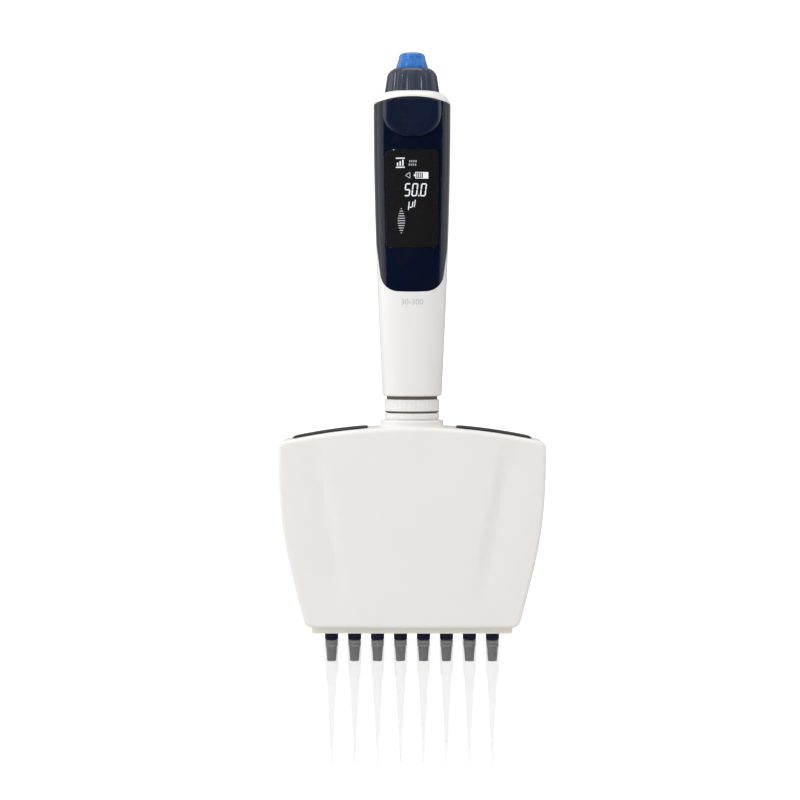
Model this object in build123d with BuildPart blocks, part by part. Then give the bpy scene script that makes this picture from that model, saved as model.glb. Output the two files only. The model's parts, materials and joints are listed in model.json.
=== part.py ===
"""An electronic eight-channel pipette with eight tips fitted, in millimetres.

The pipette stands upright, tips down.  The origin is on the axis of the handle, in the plane of
the tip ends, +Z runs up the handle, the display faces -Y and the row of tips lies along X.
"""
import os
from math import cos, copysign, pi, sin

from build123d import *

os.makedirs("parts", exist_ok=True)

# ---------------------------------------------------------------- driving dimensions
# Row of channels
channel_count = 8
channel_pitch = 9.0

# Tips
tip_length = 48.5
tip_rim_radius = 3.1
tip_wall = 0.55
tip_end_radius = 0.47
tip_end_wall = 0.22
tip_bead_height = 0.8
tip_bead_proud = 0.2
tip_socket_depth = 13.0
tip_socket_taper = 0.2
tip_shoulder_height = 2.5
tip_body_radius = 2.35
tip_stem_height = 16.0
tip_stem_radius = 1.52

# Nozzles
nozzle_insertion = 8.4
nozzle_collar_radius = 2.65
nozzle_cone_radius = 2.35
nozzle_end_radius = 1.75
nozzle_bore_radius = 0.9
nozzle_collar_gap = 0.2
nozzle_shank_radius = 2.5
nozzle_shank_length = 5.4
nozzle_ring_section = 0.35
nozzle_ring_spacing = 1.3
nozzle_ring_drop = 0.9
nozzle_ring_gap = 0.05

# Tip ejector
ejector_travel = 7.0
ejector_play = 2.9
ejector_bar_height = 6.0
ejector_bar_half_width = 39.2
ejector_bar_half_depth = 5.2
ejector_bar_corner = 1.6
ejector_bar_fillet = 0.8
ejector_hole_gap = 0.3
yoke_leg_thickness = 1.8
yoke_bridge_height = 3.5
yoke_half_depth = 4.0
yoke_ring_radius = 8.0
sleeve_wall = 1.4
sleeve_flange_radius = 7.2
sleeve_flange_height = 1.5
strap_thickness = 1.4
strap_half_width = 2.0
stirrup_height = 2.6
stirrup_arm_half_width = 3.5
stirrup_arm_grip = 1.9
stirrup_arm_depth = 1.4
stirrup_cross_y = -8.0
stirrup_cross_depth = 3.4
ejector_spring_length = 15.0
ejector_spring_wire = 0.5
ejector_spring_gap = 1.2
ejector_spring_turns = 7

# Pistons and their block
piston_radius = 2.6
piston_stroke = 14.2
piston_blow_out = 1.5
block_height = 20.0
block_half_depth = 8.0
block_corner = 1.0
block_end_wall = 3.5
seal_height = 1.8
seal_radius = 3.9
seal_plate_height = 2.0
carrier_height = 6.2
piston_seat = 2.6
carrier_cap_height = 2.0
carrier_boss_radius = 7.0
pillar_radius = 1.25
pillar_spacing_y = 12.4
pillar_depth = 7.5
pillar_margin = 0.8

# Drive
drive_rod_radius = 2.4
drive_foot_radius = 4.0
drive_foot_height = 2.8
lead_screw_radius = 2.0
shaft_chamfer = 0.3
rotor_radius = 4.25
motor_radius = 7.5
motor_height = 18.0
motor_end_wall = 1.0
mount_height = 2.0
mount_lip = 0.6
mount_arm_width = 8.0
lead_screw_reserve = 2.0

# Manifold housing
manifold_foot_z = 54.3
manifold_height = 78.0
manifold_crown = 6.0
manifold_half_width = 51.6
manifold_waist_half_width = 48.7
manifold_foot_half_width = 41.4
manifold_straight = 8.3
manifold_waist_share = 0.48
manifold_foot_slope = 0.25
manifold_top_half_depth = 15.0
manifold_middle_half_depth = 13.8
manifold_foot_half_depth = 11.0
manifold_face_bow = 2.5
manifold_wall = 2.0
manifold_edge_fillet = 1.8
manifold_top_corner = 2.8
manifold_foot_corner = 3.4
boss_radius = 2.6
screw_radius = 1.2
screw_head_radius = 2.2
screw_head_height = 1.4
screw_head_recess = 1.5
screw_drive_depth = 0.9
boss_inset = 7.0
boss_foot_inset = 0.6
screw_length = 16.0
pad_near_x = 17.3
pad_far_x = 46.3
pad_half_depth = 9.0
pad_proud = 0.6
pad_sunk = 0.8
pad_corner = 4.0
pad_fillet = 0.4

# Neck
neck_height = 11.7
hub_bearing_length = 17.6
hub_flange_radius = 12.25
hub_foot_radius = 13.2
hub_flange_height = 2.3
hub_groove_height = 0.6
hub_flare_dip = 0.2
hub_flare_height = 0.9
hub_chamfer = 0.35
hub_groove_radius = 10.2
hub_ring_height = 2.2
neck_ring_radius = 10.7
hub_collar_radius = 12.6
hub_collar_height = 2.4
hub_body_radius = 11.0
hub_seat_depth = 0.6
spindle_bore_radius = 5.2
spindle_wall = 2.8
spindle_flange_radius = 9.1
spindle_flange_height = 2.4
spindle_head = 4.5
retaining_ring_height = 1.2
retaining_ring_width = 2.2
retaining_ring_opening = 3.0
spindle_groove_depth = 0.7
swivel_washer_height = 0.5
swivel_washer_radius = 10.5
coupling_nut_height = 4.5
coupling_rib_count = 36
coupling_rib_depth = 0.14
coupling_rib_radius = 0.6
coupling_fillet = 0.4
neck_washer_radius = 9.9

# Handle
handle_length = 113.0
handle_foot_radius = 11.5
handle_half_width = 15.0
handle_front_depth = 14.2
handle_back_depth = 16.0
handle_roundness = 2.4
handle_wall = 2.0
handle_floor = 2.5
handle_foot_fillet = 0.8
handle_seam = 0.0
dome_height = 4.3
dome_top_radius = 10.6
dome_middle_share = 0.9
dome_middle_rise = 0.6
section_points = 16
handle_stations = 6

# Front cover and display
cover_length = 73.0
cover_foot_half_width = 11.3
cover_waist_half_width = 14.9
cover_waist_height = 26.0
cover_waist_radius = 60.0
cover_top_half_width = 16.2
cover_foot_corner = 7.0
cover_foot_sag = 0.7
cover_top_arch = 2.6
cover_edge_y = -3.0
cover_top_lap = 1.0
window_foot_z = 201.1
window_height = 37.5
window_foot_width = 20.2
window_top_width = 21.0
window_corner = 2.0
window_thickness = 1.5
window_recess = 0.12
display_width = 16.8
display_thickness = 1.8
display_margin = 1.8
display_corner = 0.8
board_width = 16.0
board_thickness = 1.2
board_corner = 1.0
board_end_gap = 2.0
processor_size = 7.0
chip_length = 4.0
chip_width = 3.0
chip_height = 1.0
chip_rise = 14.0
battery_width = 12.0
battery_thickness = 7.5
battery_corner = 2.5
battery_height = 44.0
battery_end_fillet = 0.8
battery_screw_gap = 1.5
battery_mount_gap = 4.0

# Thumb button of the tip ejector
thumb_top_z = 257.0
thumb_height = 13.6
thumb_half_width = 11.0
thumb_reach = 20.0
thumb_centre_y = -9.0
thumb_foot_half_width = 4.2
thumb_foot_reach = 15.6
thumb_foot_corner = 3.0
thumb_corner = 4.6
thumb_edge_fillet = 0.9
thumb_round_share = 0.55
thumb_fullness = 0.7
thumb_swell = 0.8
thumb_dish_radius = 24.0
thumb_dish_depth = 1.1
thumb_dish_drop = 6.4

# Setting wheel and operating button
wheel_height = 9.2
wheel_foot_radius = 10.75
wheel_shoulder_radius = 9.9
wheel_shoulder_height = 5.4
wheel_top_radius = 7.3
wheel_flute_count = 14
wheel_flute_radius = 2.4
wheel_flute_depth = 0.55
wheel_flute_lean = 7.0
wheel_crown_bulge = 0.75
wheel_crown_drop = 1.6
wheel_gap = 0.15
post_radius = 7.4
post_wall = 1.1
post_height = 5.6
encoder_ring_height = 2.5
encoder_ring_wall = 1.0
button_radius = 6.3
button_height = 6.2
button_top_radius = 3.0
button_shoulder_radius = 5.2
button_shoulder_height = 4.0
button_flute_count = 9
button_flute_radius = 2.2
button_flute_depth = 0.45
button_flute_lean = 11.0
button_rim_height = 0.7
button_lap = 1.0
button_crown_bulge = 0.5
button_crown_drop = 0.6
flute_overrun = 1.0
button_travel = 2.5
button_stem_radius = 2.8
button_skirt_wall = 0.9
button_skirt_length = 6.0
button_spring_wire = 0.35
button_spring_turns = 5
switch_width = 6.0
switch_board_width = 14.0
switch_height = 3.2
switch_plunger_radius = 1.5
switch_plunger_height = 1.0
encoder_board_radius = 10.6
encoder_board_height = 1.2

# Rear of the handle
hook_foot_z = 226.0
hook_rest_z = 238.0
hook_top_z = 251.0
hook_reach = 37.0
hook_lip = 5.0
hook_lip_drop = 7.0
hook_half_width = 7.0
hook_base_thickness = 2.1
hook_nose = 4.0
hook_nose_fillet = 5.0
hook_lip_fillet = 1.6
hook_root = 5.0
hook_taper = 0.5
hook_rest_fillet = 3.0
hook_edge_fillet = 1.5
hatch_foot_z = 189.0
hatch_height = 33.0
hatch_half_width = 8.5
hatch_corner = 3.0
hatch_grip_radius = 3.0
hatch_grip_depth = 0.9
hatch_grip_drop = 5.0
hatch_grip_inset = 3.0
contact_z = 182.0
contact_spacing = 10.0
contact_radius = 2.0
contact_recess = 0.1
grip_screw_radius = 0.9
grip_screw_x = 8.4
grip_screw_z = 157.5
grip_screw_start_share = 0.3
grip_screw_end_share = 0.62

# Clearances
running_gap = 0.08
moving_gap = 0.3
fixed_gap = 0.1
seam_gap = 0.12
ring_gap = 0.05
seat_overlap = 0.02
pick_tolerance = 0.01
smallest_corner = 0.5
past_edge_share = 1.2

# ---------------------------------------------------------------- levels worked out from them
row_x = [(index - (channel_count - 1) / 2) * channel_pitch for index in range(channel_count)]
row_half_length = row_x[-1]

bar_foot_z = tip_length + ejector_play
block_foot_z = bar_foot_z + ejector_bar_height + fixed_gap
block_top_z = block_foot_z + block_height
block_half_width = row_half_length + block_end_wall
cylinder_foot_z = block_foot_z + nozzle_shank_length + fixed_gap
piston_foot_z = cylinder_foot_z + piston_blow_out + fixed_gap
seal_plate_top_z = block_top_z + seal_plate_height
carrier_foot_z = seal_plate_top_z + piston_blow_out + moving_gap
carrier_top_z = carrier_foot_z + carrier_height
carrier_cap_top_z = carrier_top_z + carrier_cap_height
yoke_bridge_z = carrier_cap_top_z + piston_stroke + ejector_travel + moving_gap
sleeve_foot_z = yoke_bridge_z + yoke_bridge_height + fixed_gap
spindle_foot_z = sleeve_foot_z + sleeve_flange_height + moving_gap
leg_inner_x = block_half_width + 2 * moving_gap
pillar_spacing_x = (channel_count - 2) * channel_pitch
pillar_top_z = yoke_bridge_z - ejector_travel - pillar_margin

manifold_top_z = manifold_foot_z + manifold_height
manifold_corner_z = manifold_top_z - manifold_crown
manifold_radius = (manifold_half_width ** 2 + manifold_crown ** 2) / (2 * manifold_crown)
ceiling_z = manifold_top_z - manifold_wall - 0.4

spindle_radius = spindle_bore_radius + spindle_wall
hub_top_z = manifold_top_z + hub_flange_height + hub_groove_height + hub_ring_height
hub_foot_z = hub_top_z - hub_bearing_length
ring_top_z = hub_foot_z - moving_gap
ring_foot_z = ring_top_z - retaining_ring_height
swivel_washer_z = hub_top_z + moving_gap
coupling_nut_z = swivel_washer_z + swivel_washer_height
neck_washer_z = coupling_nut_z + coupling_nut_height

handle_foot_z = manifold_top_z + neck_height
handle_floor_z = handle_foot_z + handle_floor
handle_top_z = handle_foot_z + handle_length
dome_top_z = handle_top_z + dome_height

spindle_top_z = handle_floor_z + spindle_flange_height + spindle_head
stirrup_foot_z = spindle_top_z + ejector_spring_length
stirrup_top_z = stirrup_foot_z + stirrup_height
motor_foot_z = stirrup_top_z + 2.0
motor_top_z = motor_foot_z + motor_height
mount_top_z = motor_top_z + mount_height
lead_screw_foot_z = motor_foot_z - piston_stroke - 1.0
lead_screw_top_z = mount_top_z + lead_screw_reserve
sleeve_bore_radius = drive_rod_radius + 2 * moving_gap
sleeve_radius = sleeve_bore_radius + sleeve_wall

strap_inner_x = motor_radius + 1.1
battery_foot_z = mount_top_z + battery_mount_gap
bridge_top_z = thumb_top_z - stirrup_arm_depth
bridge_foot_z = bridge_top_z - stirrup_height
stirrup_arm_reach = handle_front_depth + stirrup_arm_grip
switch_board_z = battery_foot_z + battery_height + battery_screw_gap
board_top_z = switch_board_z - 2 * board_end_gap
board_foot_z = mount_top_z + board_end_gap
encoder_board_z = handle_top_z + moving_gap
switch_z = switch_board_z + encoder_board_height
plunger_top_z = switch_z + switch_height + switch_plunger_height

wheel_foot_z = dome_top_z + wheel_gap
wheel_top_z = wheel_foot_z + wheel_height
button_foot_z = wheel_top_z
button_top_z = button_foot_z + button_height
post_bore_radius = post_radius - post_wall

cover_foot_z = handle_top_z - cover_length + cover_top_lap
window_middle_z = window_foot_z + window_height / 2


# ---------------------------------------------------------------- shared forms
def row_plane(x):
    """The upright plane through one channel, its own x away from the channel's axis."""
    return Plane(origin=(x, 0, 0), x_dir=(1, 0, 0), z_dir=(0, -1, 0))


def upright_axis(x):
    """The axis of the channel at x."""
    return Axis((x, 0, 0), (0, 0, 1))


def oval_points(half_width, front_depth, back_depth):
    """Points of a rounded section that is flatter than an ellipse, its front towards -Y."""
    points = []
    for index in range(section_points):
        angle = 2 * pi * index / section_points
        across = copysign(abs(cos(angle)) ** (2 / handle_roundness), cos(angle))
        along = copysign(abs(sin(angle)) ** (2 / handle_roundness), sin(angle))
        depth = back_depth if along > 0 else front_depth
        points.append((half_width * across, depth * along))
    return points


def handle_sizes(height, inset):
    """Half width, front depth and back depth of the handle at a height, less the inset."""
    share = sin(pi / 2 * (height - handle_foot_z) / handle_length)
    full_sizes = (handle_half_width, handle_front_depth, handle_back_depth)
    return [handle_foot_radius + (full - handle_foot_radius) * share - inset for full in full_sizes]


def front_depth(height, x):
    """How far the handle's front surface stands from the axis at a height and a place across."""
    half_width, depth, _ = handle_sizes(height, 0)
    return depth * (1 - (x / half_width) ** handle_roundness) ** (1 / handle_roundness)


def handle_form(inset, foot_z):
    """The handle's closed form from foot_z up to its domed top, moved inwards by inset."""
    stations = []
    for index in range(handle_stations):
        height = foot_z + (handle_top_z - foot_z) * index / (handle_stations - 1)
        stations.append((height, handle_sizes(height, inset)))
    top_sizes = handle_sizes(handle_top_z, inset)
    middle_z = handle_top_z + (dome_height - inset) * dome_middle_rise
    dome_stations = [
        (handle_top_z, top_sizes),
        (middle_z, [size * dome_middle_share for size in top_sizes]),
        (dome_top_z - inset, [dome_top_radius - inset] * 3),
    ]
    with BuildPart() as form:
        for column in (stations, dome_stations):
            for height, sizes in column:
                with BuildSketch(Plane.XY.offset(height)):
                    with BuildLine():
                        Spline(*oval_points(*sizes), periodic=True)
                    make_face()
            loft()
    return form.part


def cover_prism(gap):
    """The tongue-shaped column that the front cover fills, grown by gap on every side."""
    top_z = handle_top_z - cover_top_lap
    waist_z = cover_foot_z + cover_waist_height
    with BuildPart() as prism:
        with BuildSketch(Plane.XZ.offset(-cover_edge_y - gap)):
            with BuildLine():
                Polyline(
                    (-cover_top_half_width, top_z),
                    (-cover_waist_half_width, waist_z),
                    (-cover_foot_half_width, cover_foot_z),
                )
                ThreePointArc(
                    (-cover_foot_half_width, cover_foot_z),
                    (0, cover_foot_z - cover_foot_sag),
                    (cover_foot_half_width, cover_foot_z),
                )
                Polyline(
                    (cover_foot_half_width, cover_foot_z),
                    (cover_waist_half_width, waist_z),
                    (cover_top_half_width, top_z),
                )
                ThreePointArc(
                    (cover_top_half_width, top_z),
                    (0, top_z + cover_top_arch),
                    (-cover_top_half_width, top_z),
                )
            make_face()
            fillet(vertices().group_by(Axis.Y)[0], cover_foot_corner)
            fillet(
                vertices().filter_by(lambda v: abs(v.Y - waist_z) < pick_tolerance), cover_waist_radius
            )
            if gap:
                offset(amount=gap)
        extrude(amount=2 * handle_front_depth)
    return prism.part


def window_prism(gap):
    """The column that the display window fills, grown by gap on every side."""
    with BuildPart() as prism:
        with BuildSketch(Plane.XZ):
            with BuildLine():
                Polyline(
                    (-window_top_width / 2, window_foot_z + window_height),
                    (window_top_width / 2, window_foot_z + window_height),
                    (window_foot_width / 2, window_foot_z),
                    (-window_foot_width / 2, window_foot_z),
                    close=True,
                )
            make_face()
            fillet(vertices(), window_corner)
            if gap:
                offset(amount=gap)
        extrude(amount=2 * handle_front_depth)
    return prism.part


def hatch_prism(gap):
    """The column that the battery hatch fills at the back of the handle, grown by gap."""
    with BuildPart() as prism:
        with BuildSketch(Plane.XZ):
            with Locations((0, hatch_foot_z + hatch_height / 2)):
                RectangleRounded(2 * (hatch_half_width + gap), hatch_height + 2 * gap, hatch_corner + gap)
        extrude(amount=-2 * handle_back_depth)
    return prism.part


def side_half(limit_y, towards_front):
    """A large block on one side of an upright plane, to keep half of a form."""
    reach = 120
    with BuildPart() as half:
        with BuildSketch(Plane.XY):
            with Locations((0, limit_y + (-reach / 2 if towards_front else reach / 2))):
                Rectangle(3 * reach, reach)
        extrude(amount=3 * reach)
    return half.part


def manifold_form(inset):
    """The manifold housing's closed form, moved inwards by inset."""
    half_width = manifold_half_width - inset
    waist_half_width = manifold_waist_half_width - inset
    foot_half_width = manifold_foot_half_width - inset * (1 - manifold_foot_slope)
    foot_z = manifold_foot_z + inset
    arc_radius = manifold_radius - inset
    corner_z = manifold_top_z - manifold_radius + (arc_radius ** 2 - half_width ** 2) ** 0.5
    side_top_z = manifold_corner_z - manifold_straight
    waist_z = manifold_foot_z + (side_top_z - manifold_foot_z) * manifold_waist_share
    depths = (
        (manifold_foot_z - 5, manifold_foot_half_depth),
        ((manifold_foot_z + manifold_top_z) / 2, manifold_middle_half_depth),
        (manifold_top_z + 5, manifold_top_half_depth),
    )
    with BuildPart() as form:
        with BuildSketch(Plane.XZ):
            with BuildLine():
                ThreePointArc(
                    (-half_width, corner_z), (0, manifold_top_z - inset), (half_width, corner_z)
                )
                for side in (-1, 1):
                    Line((side * half_width, corner_z), (side * half_width, side_top_z))
                    Spline(
                        (side * half_width, side_top_z),
                        (side * waist_half_width, waist_z),
                        (side * foot_half_width, foot_z),
                        tangents=[(0, -1), (-side * manifold_foot_slope, -1)],
                    )
                Line((-foot_half_width, foot_z), (foot_half_width, foot_z))
            make_face()
            fillet(vertices().group_by(Axis.Y)[0], max(manifold_foot_corner - inset, smallest_corner))
            fillet(
                vertices().filter_by(lambda v: abs(v.Y - corner_z) < pick_tolerance),
                max(manifold_top_corner - inset, smallest_corner),
            )
        extrude(amount=2 * manifold_top_half_depth, both=True)
    with BuildPart() as thickness:
        for height, depth in depths:
            reach = past_edge_share * manifold_half_width
            middle = depth - inset
            edge = middle - manifold_face_bow * (reach / manifold_half_width) ** 2
            with BuildSketch(Plane.XY.offset(height)):
                with BuildLine():
                    ThreePointArc((-reach, -edge), (0, -middle), (reach, -edge))
                    Line((reach, -edge), (reach, edge))
                    ThreePointArc((reach, edge), (0, middle), (-reach, edge))
                    Line((-reach, edge), (-reach, -edge))
                make_face()
        loft()
    with BuildPart() as housing:
        add(form.part)
        add(thickness.part, mode=Mode.INTERSECT)
        if not inset:
            fillet(housing.faces().sort_by(Axis.Y)[0].edges(), manifold_edge_fillet)
            fillet(housing.faces().sort_by(Axis.Y)[-1].edges(), manifold_edge_fillet)
    return housing.part


def pad_form(side, gap):
    """One shoulder pad, or its pocket when grown by gap."""
    with BuildPart() as pad:
        with BuildSketch(Plane.XZ):
            with Locations((0, manifold_top_z - manifold_radius)):
                Circle(manifold_radius + pad_proud + gap)
                Circle(manifold_radius - pad_sunk - gap, mode=Mode.SUBTRACT)
        extrude(amount=pad_half_depth + gap, both=True)
        with BuildSketch(Plane.XY.offset(manifold_corner_z - 10)):
            with Locations((side * (pad_near_x + pad_far_x) / 2, 0)):
                RectangleRounded(
                    pad_far_x - pad_near_x + 2 * gap, 2 * (pad_half_depth + gap), pad_corner + gap
                )
        extrude(amount=30, mode=Mode.INTERSECT)
    return pad.part


def coil(radius, wire, turns, foot_z, length):
    """A compression spring whose ends stay inside its seats."""
    rise = length - 2 * wire - 2 * fixed_gap
    with BuildPart() as spring:
        with BuildLine(Plane.XY.offset(foot_z + wire + fixed_gap)):
            path = Helix(pitch=rise / turns, height=rise, radius=radius)
        with BuildSketch(Plane(origin=path @ 0, z_dir=path % 0)):
            Circle(wire)
        sweep(path=path.edge(), is_frenet=True)
    return spring.part


def fluted(count, circle_radius, flute_radius, depth, foot_z, height, lean):
    """Upright round flutes that cut into a knob, leaning inwards with its side."""
    with BuildPart() as flutes:
        with Locations(Location((0, 0, foot_z))):
            with PolarLocations(circle_radius + flute_radius - depth, count):
                Cylinder(
                    flute_radius,
                    height,
                    rotation=(0, -lean, 0),
                    align=(Align.CENTER, Align.CENTER, Align.MIN),
                )
    return flutes.part


handle_outer = handle_form(0, handle_foot_z)
handle_inner = handle_form(handle_wall, handle_floor_z)
front_half = side_half(handle_seam - seam_gap / 2, True)
rear_half = side_half(handle_seam + seam_gap / 2, False)
cover_column = cover_prism(0)
cover_opening = cover_prism(seam_gap)
window_column = window_prism(0)
window_opening = window_prism(seam_gap)
hatch_column = hatch_prism(0)
hatch_opening = hatch_prism(seam_gap)
manifold_outer = manifold_form(0)
manifold_inner = manifold_form(manifold_wall)
manifold_root = manifold_form(manifold_wall / 2)


def export(builder, label):
    """Labels a finished piece and writes its file."""
    builder.part.label = label
    export_step(builder.part, f"parts/{label}.step")


# ---------------------------------------------------------------- handle: shells
grip_screw_rows = [(-grip_screw_x, grip_screw_z), (grip_screw_x, grip_screw_z)]

with BuildPart() as grip_front_shell:
    add(handle_outer)
    fillet(grip_front_shell.edges().group_by(Axis.Z)[0], handle_foot_fillet)
    add(handle_inner, mode=Mode.SUBTRACT)
    with BuildSketch(Plane.XY.offset(handle_foot_z)):
        Circle(spindle_radius + fixed_gap)
    extrude(amount=handle_floor, mode=Mode.SUBTRACT)
    with BuildSketch(Plane.XY.offset(handle_top_z)):
        Rectangle(4 * handle_half_width, 4 * handle_half_width)
    extrude(amount=2 * dome_height, mode=Mode.SUBTRACT)
    add(front_half, mode=Mode.INTERSECT)
    add(cover_opening, mode=Mode.SUBTRACT)
export(grip_front_shell, "grip_front_shell")

with BuildPart() as grip_rear_shell:
    add(handle_outer)
    fillet(grip_rear_shell.edges().group_by(Axis.Z)[0], handle_foot_fillet)
    add(handle_inner, mode=Mode.SUBTRACT)
    with BuildSketch(Plane.XY.offset(handle_foot_z)):
        Circle(spindle_radius + fixed_gap)
    extrude(amount=handle_floor, mode=Mode.SUBTRACT)
    with BuildSketch(Plane.XY.offset(handle_top_z)):
        Rectangle(4 * handle_half_width, 4 * handle_half_width)
    extrude(amount=2 * dome_height, mode=Mode.SUBTRACT)
    add(rear_half, mode=Mode.INTERSECT)
    add(hatch_opening, mode=Mode.SUBTRACT)
    with BuildSketch(Plane.XZ):
        with Locations((0, contact_z)):
            with GridLocations(contact_spacing, 0, 2, 1):
                Circle(contact_radius + fixed_gap)
        with Locations(*grip_screw_rows):
            Circle(grip_screw_radius + fixed_gap)
    extrude(amount=-2 * handle_back_depth, mode=Mode.SUBTRACT)
export(grip_rear_shell, "grip_rear_shell")

with BuildPart() as battery_hatch:
    add(handle_outer)
    add(handle_inner, mode=Mode.SUBTRACT)
    add(hatch_column, mode=Mode.INTERSECT)
    hatch_top_z = hatch_foot_z + hatch_height
    with BuildSketch(Plane.YZ):
        grip_y = handle_sizes(hatch_top_z, 0)[2] + hatch_grip_radius - hatch_grip_depth
        with Locations((grip_y, hatch_top_z - hatch_grip_drop)):
            Circle(hatch_grip_radius)
    extrude(amount=hatch_half_width - hatch_grip_inset, both=True, mode=Mode.SUBTRACT)
export(battery_hatch, "battery_hatch")

with BuildPart() as charge_contacts:
    add(handle_form(contact_recess, handle_foot_z))
    add(handle_inner, mode=Mode.SUBTRACT)
    with BuildSketch(Plane.XZ):
        with Locations((0, contact_z)):
            with GridLocations(contact_spacing, 0, 2, 1):
                Circle(contact_radius)
    extrude(amount=-2 * handle_back_depth, mode=Mode.INTERSECT)
export(charge_contacts, "charge_contacts")

with BuildPart() as grip_screws:
    screw_end_y = handle_sizes(grip_screw_z, handle_wall)[2] * grip_screw_start_share
    with BuildSketch(Plane.XZ.offset(-screw_end_y)):
        with Locations(*grip_screw_rows):
            Circle(grip_screw_radius)
    extrude(amount=screw_end_y - handle_sizes(grip_screw_z, 0)[2] * grip_screw_end_share)
export(grip_screws, "grip_screws")

# ---------------------------------------------------------------- handle: cover and display
slot_foot_z = bridge_foot_z - ejector_travel - moving_gap
slot_top_z = bridge_top_z + moving_gap

with BuildPart() as front_cover:
    add(handle_outer)
    add(handle_inner, mode=Mode.SUBTRACT)
    add(cover_column, mode=Mode.INTERSECT)
    add(window_opening, mode=Mode.SUBTRACT)
    with BuildSketch(Plane.XZ):
        with Locations((0, (slot_foot_z + slot_top_z) / 2)):
            Rectangle(2 * (stirrup_arm_half_width + moving_gap), slot_top_z - slot_foot_z)
    extrude(amount=2 * handle_front_depth, mode=Mode.SUBTRACT)
export(front_cover, "front_cover")

with BuildPart() as display_window:
    add(handle_form(window_recess, handle_foot_z))
    add(handle_form(window_recess + window_thickness, handle_floor_z), mode=Mode.SUBTRACT)
    add(window_column, mode=Mode.INTERSECT)
export(display_window, "display_window")

display_foot_z = window_foot_z + display_margin
display_y = window_recess + window_thickness + 2 * moving_gap - front_depth(display_foot_z, display_width / 2)

with BuildPart() as display_module:
    with BuildSketch(Plane.XZ.offset(-display_y)):
        with Locations((0, window_middle_z)):
            RectangleRounded(display_width, window_height - 2 * display_margin, display_corner)
    extrude(amount=-display_thickness)
export(display_module, "display_module")

board_y = display_y + display_thickness + fixed_gap

with BuildPart() as main_board:
    with BuildSketch(Plane.XZ.offset(-board_y)):
        with Locations((0, (board_foot_z + board_top_z) / 2)):
            RectangleRounded(board_width, board_top_z - board_foot_z, board_corner)
    extrude(amount=-board_thickness)
    chip_plane = Plane.XZ.offset(-(board_y + board_thickness))
    with BuildSketch(chip_plane):
        with Locations((0, board_foot_z + chip_rise), (-chip_width, board_foot_z + 2 * chip_rise)):
            Rectangle(processor_size, processor_size)
        with Locations((chip_length, board_foot_z + 2 * chip_rise)):
            with GridLocations(0, 2 * chip_width, 1, 2):
                Rectangle(chip_length, chip_width)
    extrude(amount=-chip_height)
export(main_board, "main_board")

with BuildPart() as battery_cell:
    battery_y = lead_screw_radius + battery_screw_gap
    with BuildSketch(Plane.XY.offset(battery_foot_z)):
        with Locations((0, battery_y + battery_thickness / 2)):
            RectangleRounded(battery_width, battery_thickness, battery_corner)
    extrude(amount=battery_height)
    fillet(battery_cell.edges().group_by(Axis.Z)[0], battery_end_fillet)
    fillet(battery_cell.edges().group_by(Axis.Z)[-1], battery_end_fillet)
export(battery_cell, "battery_cell")

# ---------------------------------------------------------------- handle: top
with BuildPart() as top_collar:
    add(handle_outer)
    add(handle_inner, mode=Mode.SUBTRACT)
    with BuildSketch(Plane.XY.offset(handle_top_z + seam_gap)):
        Rectangle(4 * handle_half_width, 4 * handle_half_width)
    extrude(amount=2 * dome_height, mode=Mode.INTERSECT)
    add(cover_opening, mode=Mode.SUBTRACT)
    with BuildSketch(Plane.XY.offset(dome_top_z - handle_wall)):
        Circle(post_radius)
    extrude(amount=handle_wall + post_height)
    with BuildSketch(Plane.XY.offset(dome_top_z)):
        Circle(post_bore_radius)
    extrude(amount=post_height, mode=Mode.SUBTRACT)
    with BuildSketch(Plane.XY.offset(dome_top_z - handle_wall)):
        Circle(button_stem_radius + moving_gap)
    extrude(amount=handle_wall, mode=Mode.SUBTRACT)
export(top_collar, "top_collar")

with BuildPart() as encoder_board:
    with BuildSketch(Plane.XY.offset(encoder_board_z)):
        Circle(encoder_board_radius)
        Circle(button_stem_radius + moving_gap, mode=Mode.SUBTRACT)
    extrude(amount=encoder_board_height)
export(encoder_board, "encoder_board")

with BuildPart() as switch_board:
    with BuildSketch(Plane.XY.offset(switch_board_z)):
        RectangleRounded(switch_board_width, switch_board_width, board_corner)
    extrude(amount=encoder_board_height)
export(switch_board, "switch_board")

with BuildPart() as button_switch:
    with BuildSketch(Plane.XY.offset(switch_z)):
        RectangleRounded(switch_width, switch_width, board_corner / 2)
    extrude(amount=switch_height)
    with BuildSketch(Plane.XY.offset(switch_z + switch_height)):
        Circle(switch_plunger_radius)
    extrude(amount=switch_plunger_height)
export(button_switch, "button_switch")

# ---------------------------------------------------------------- handle: finger hook
hook_back = handle_sizes(hook_rest_z, 0)[2] + hook_base_thickness
handle_seat = handle_form(-seat_overlap, handle_foot_z)

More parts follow.
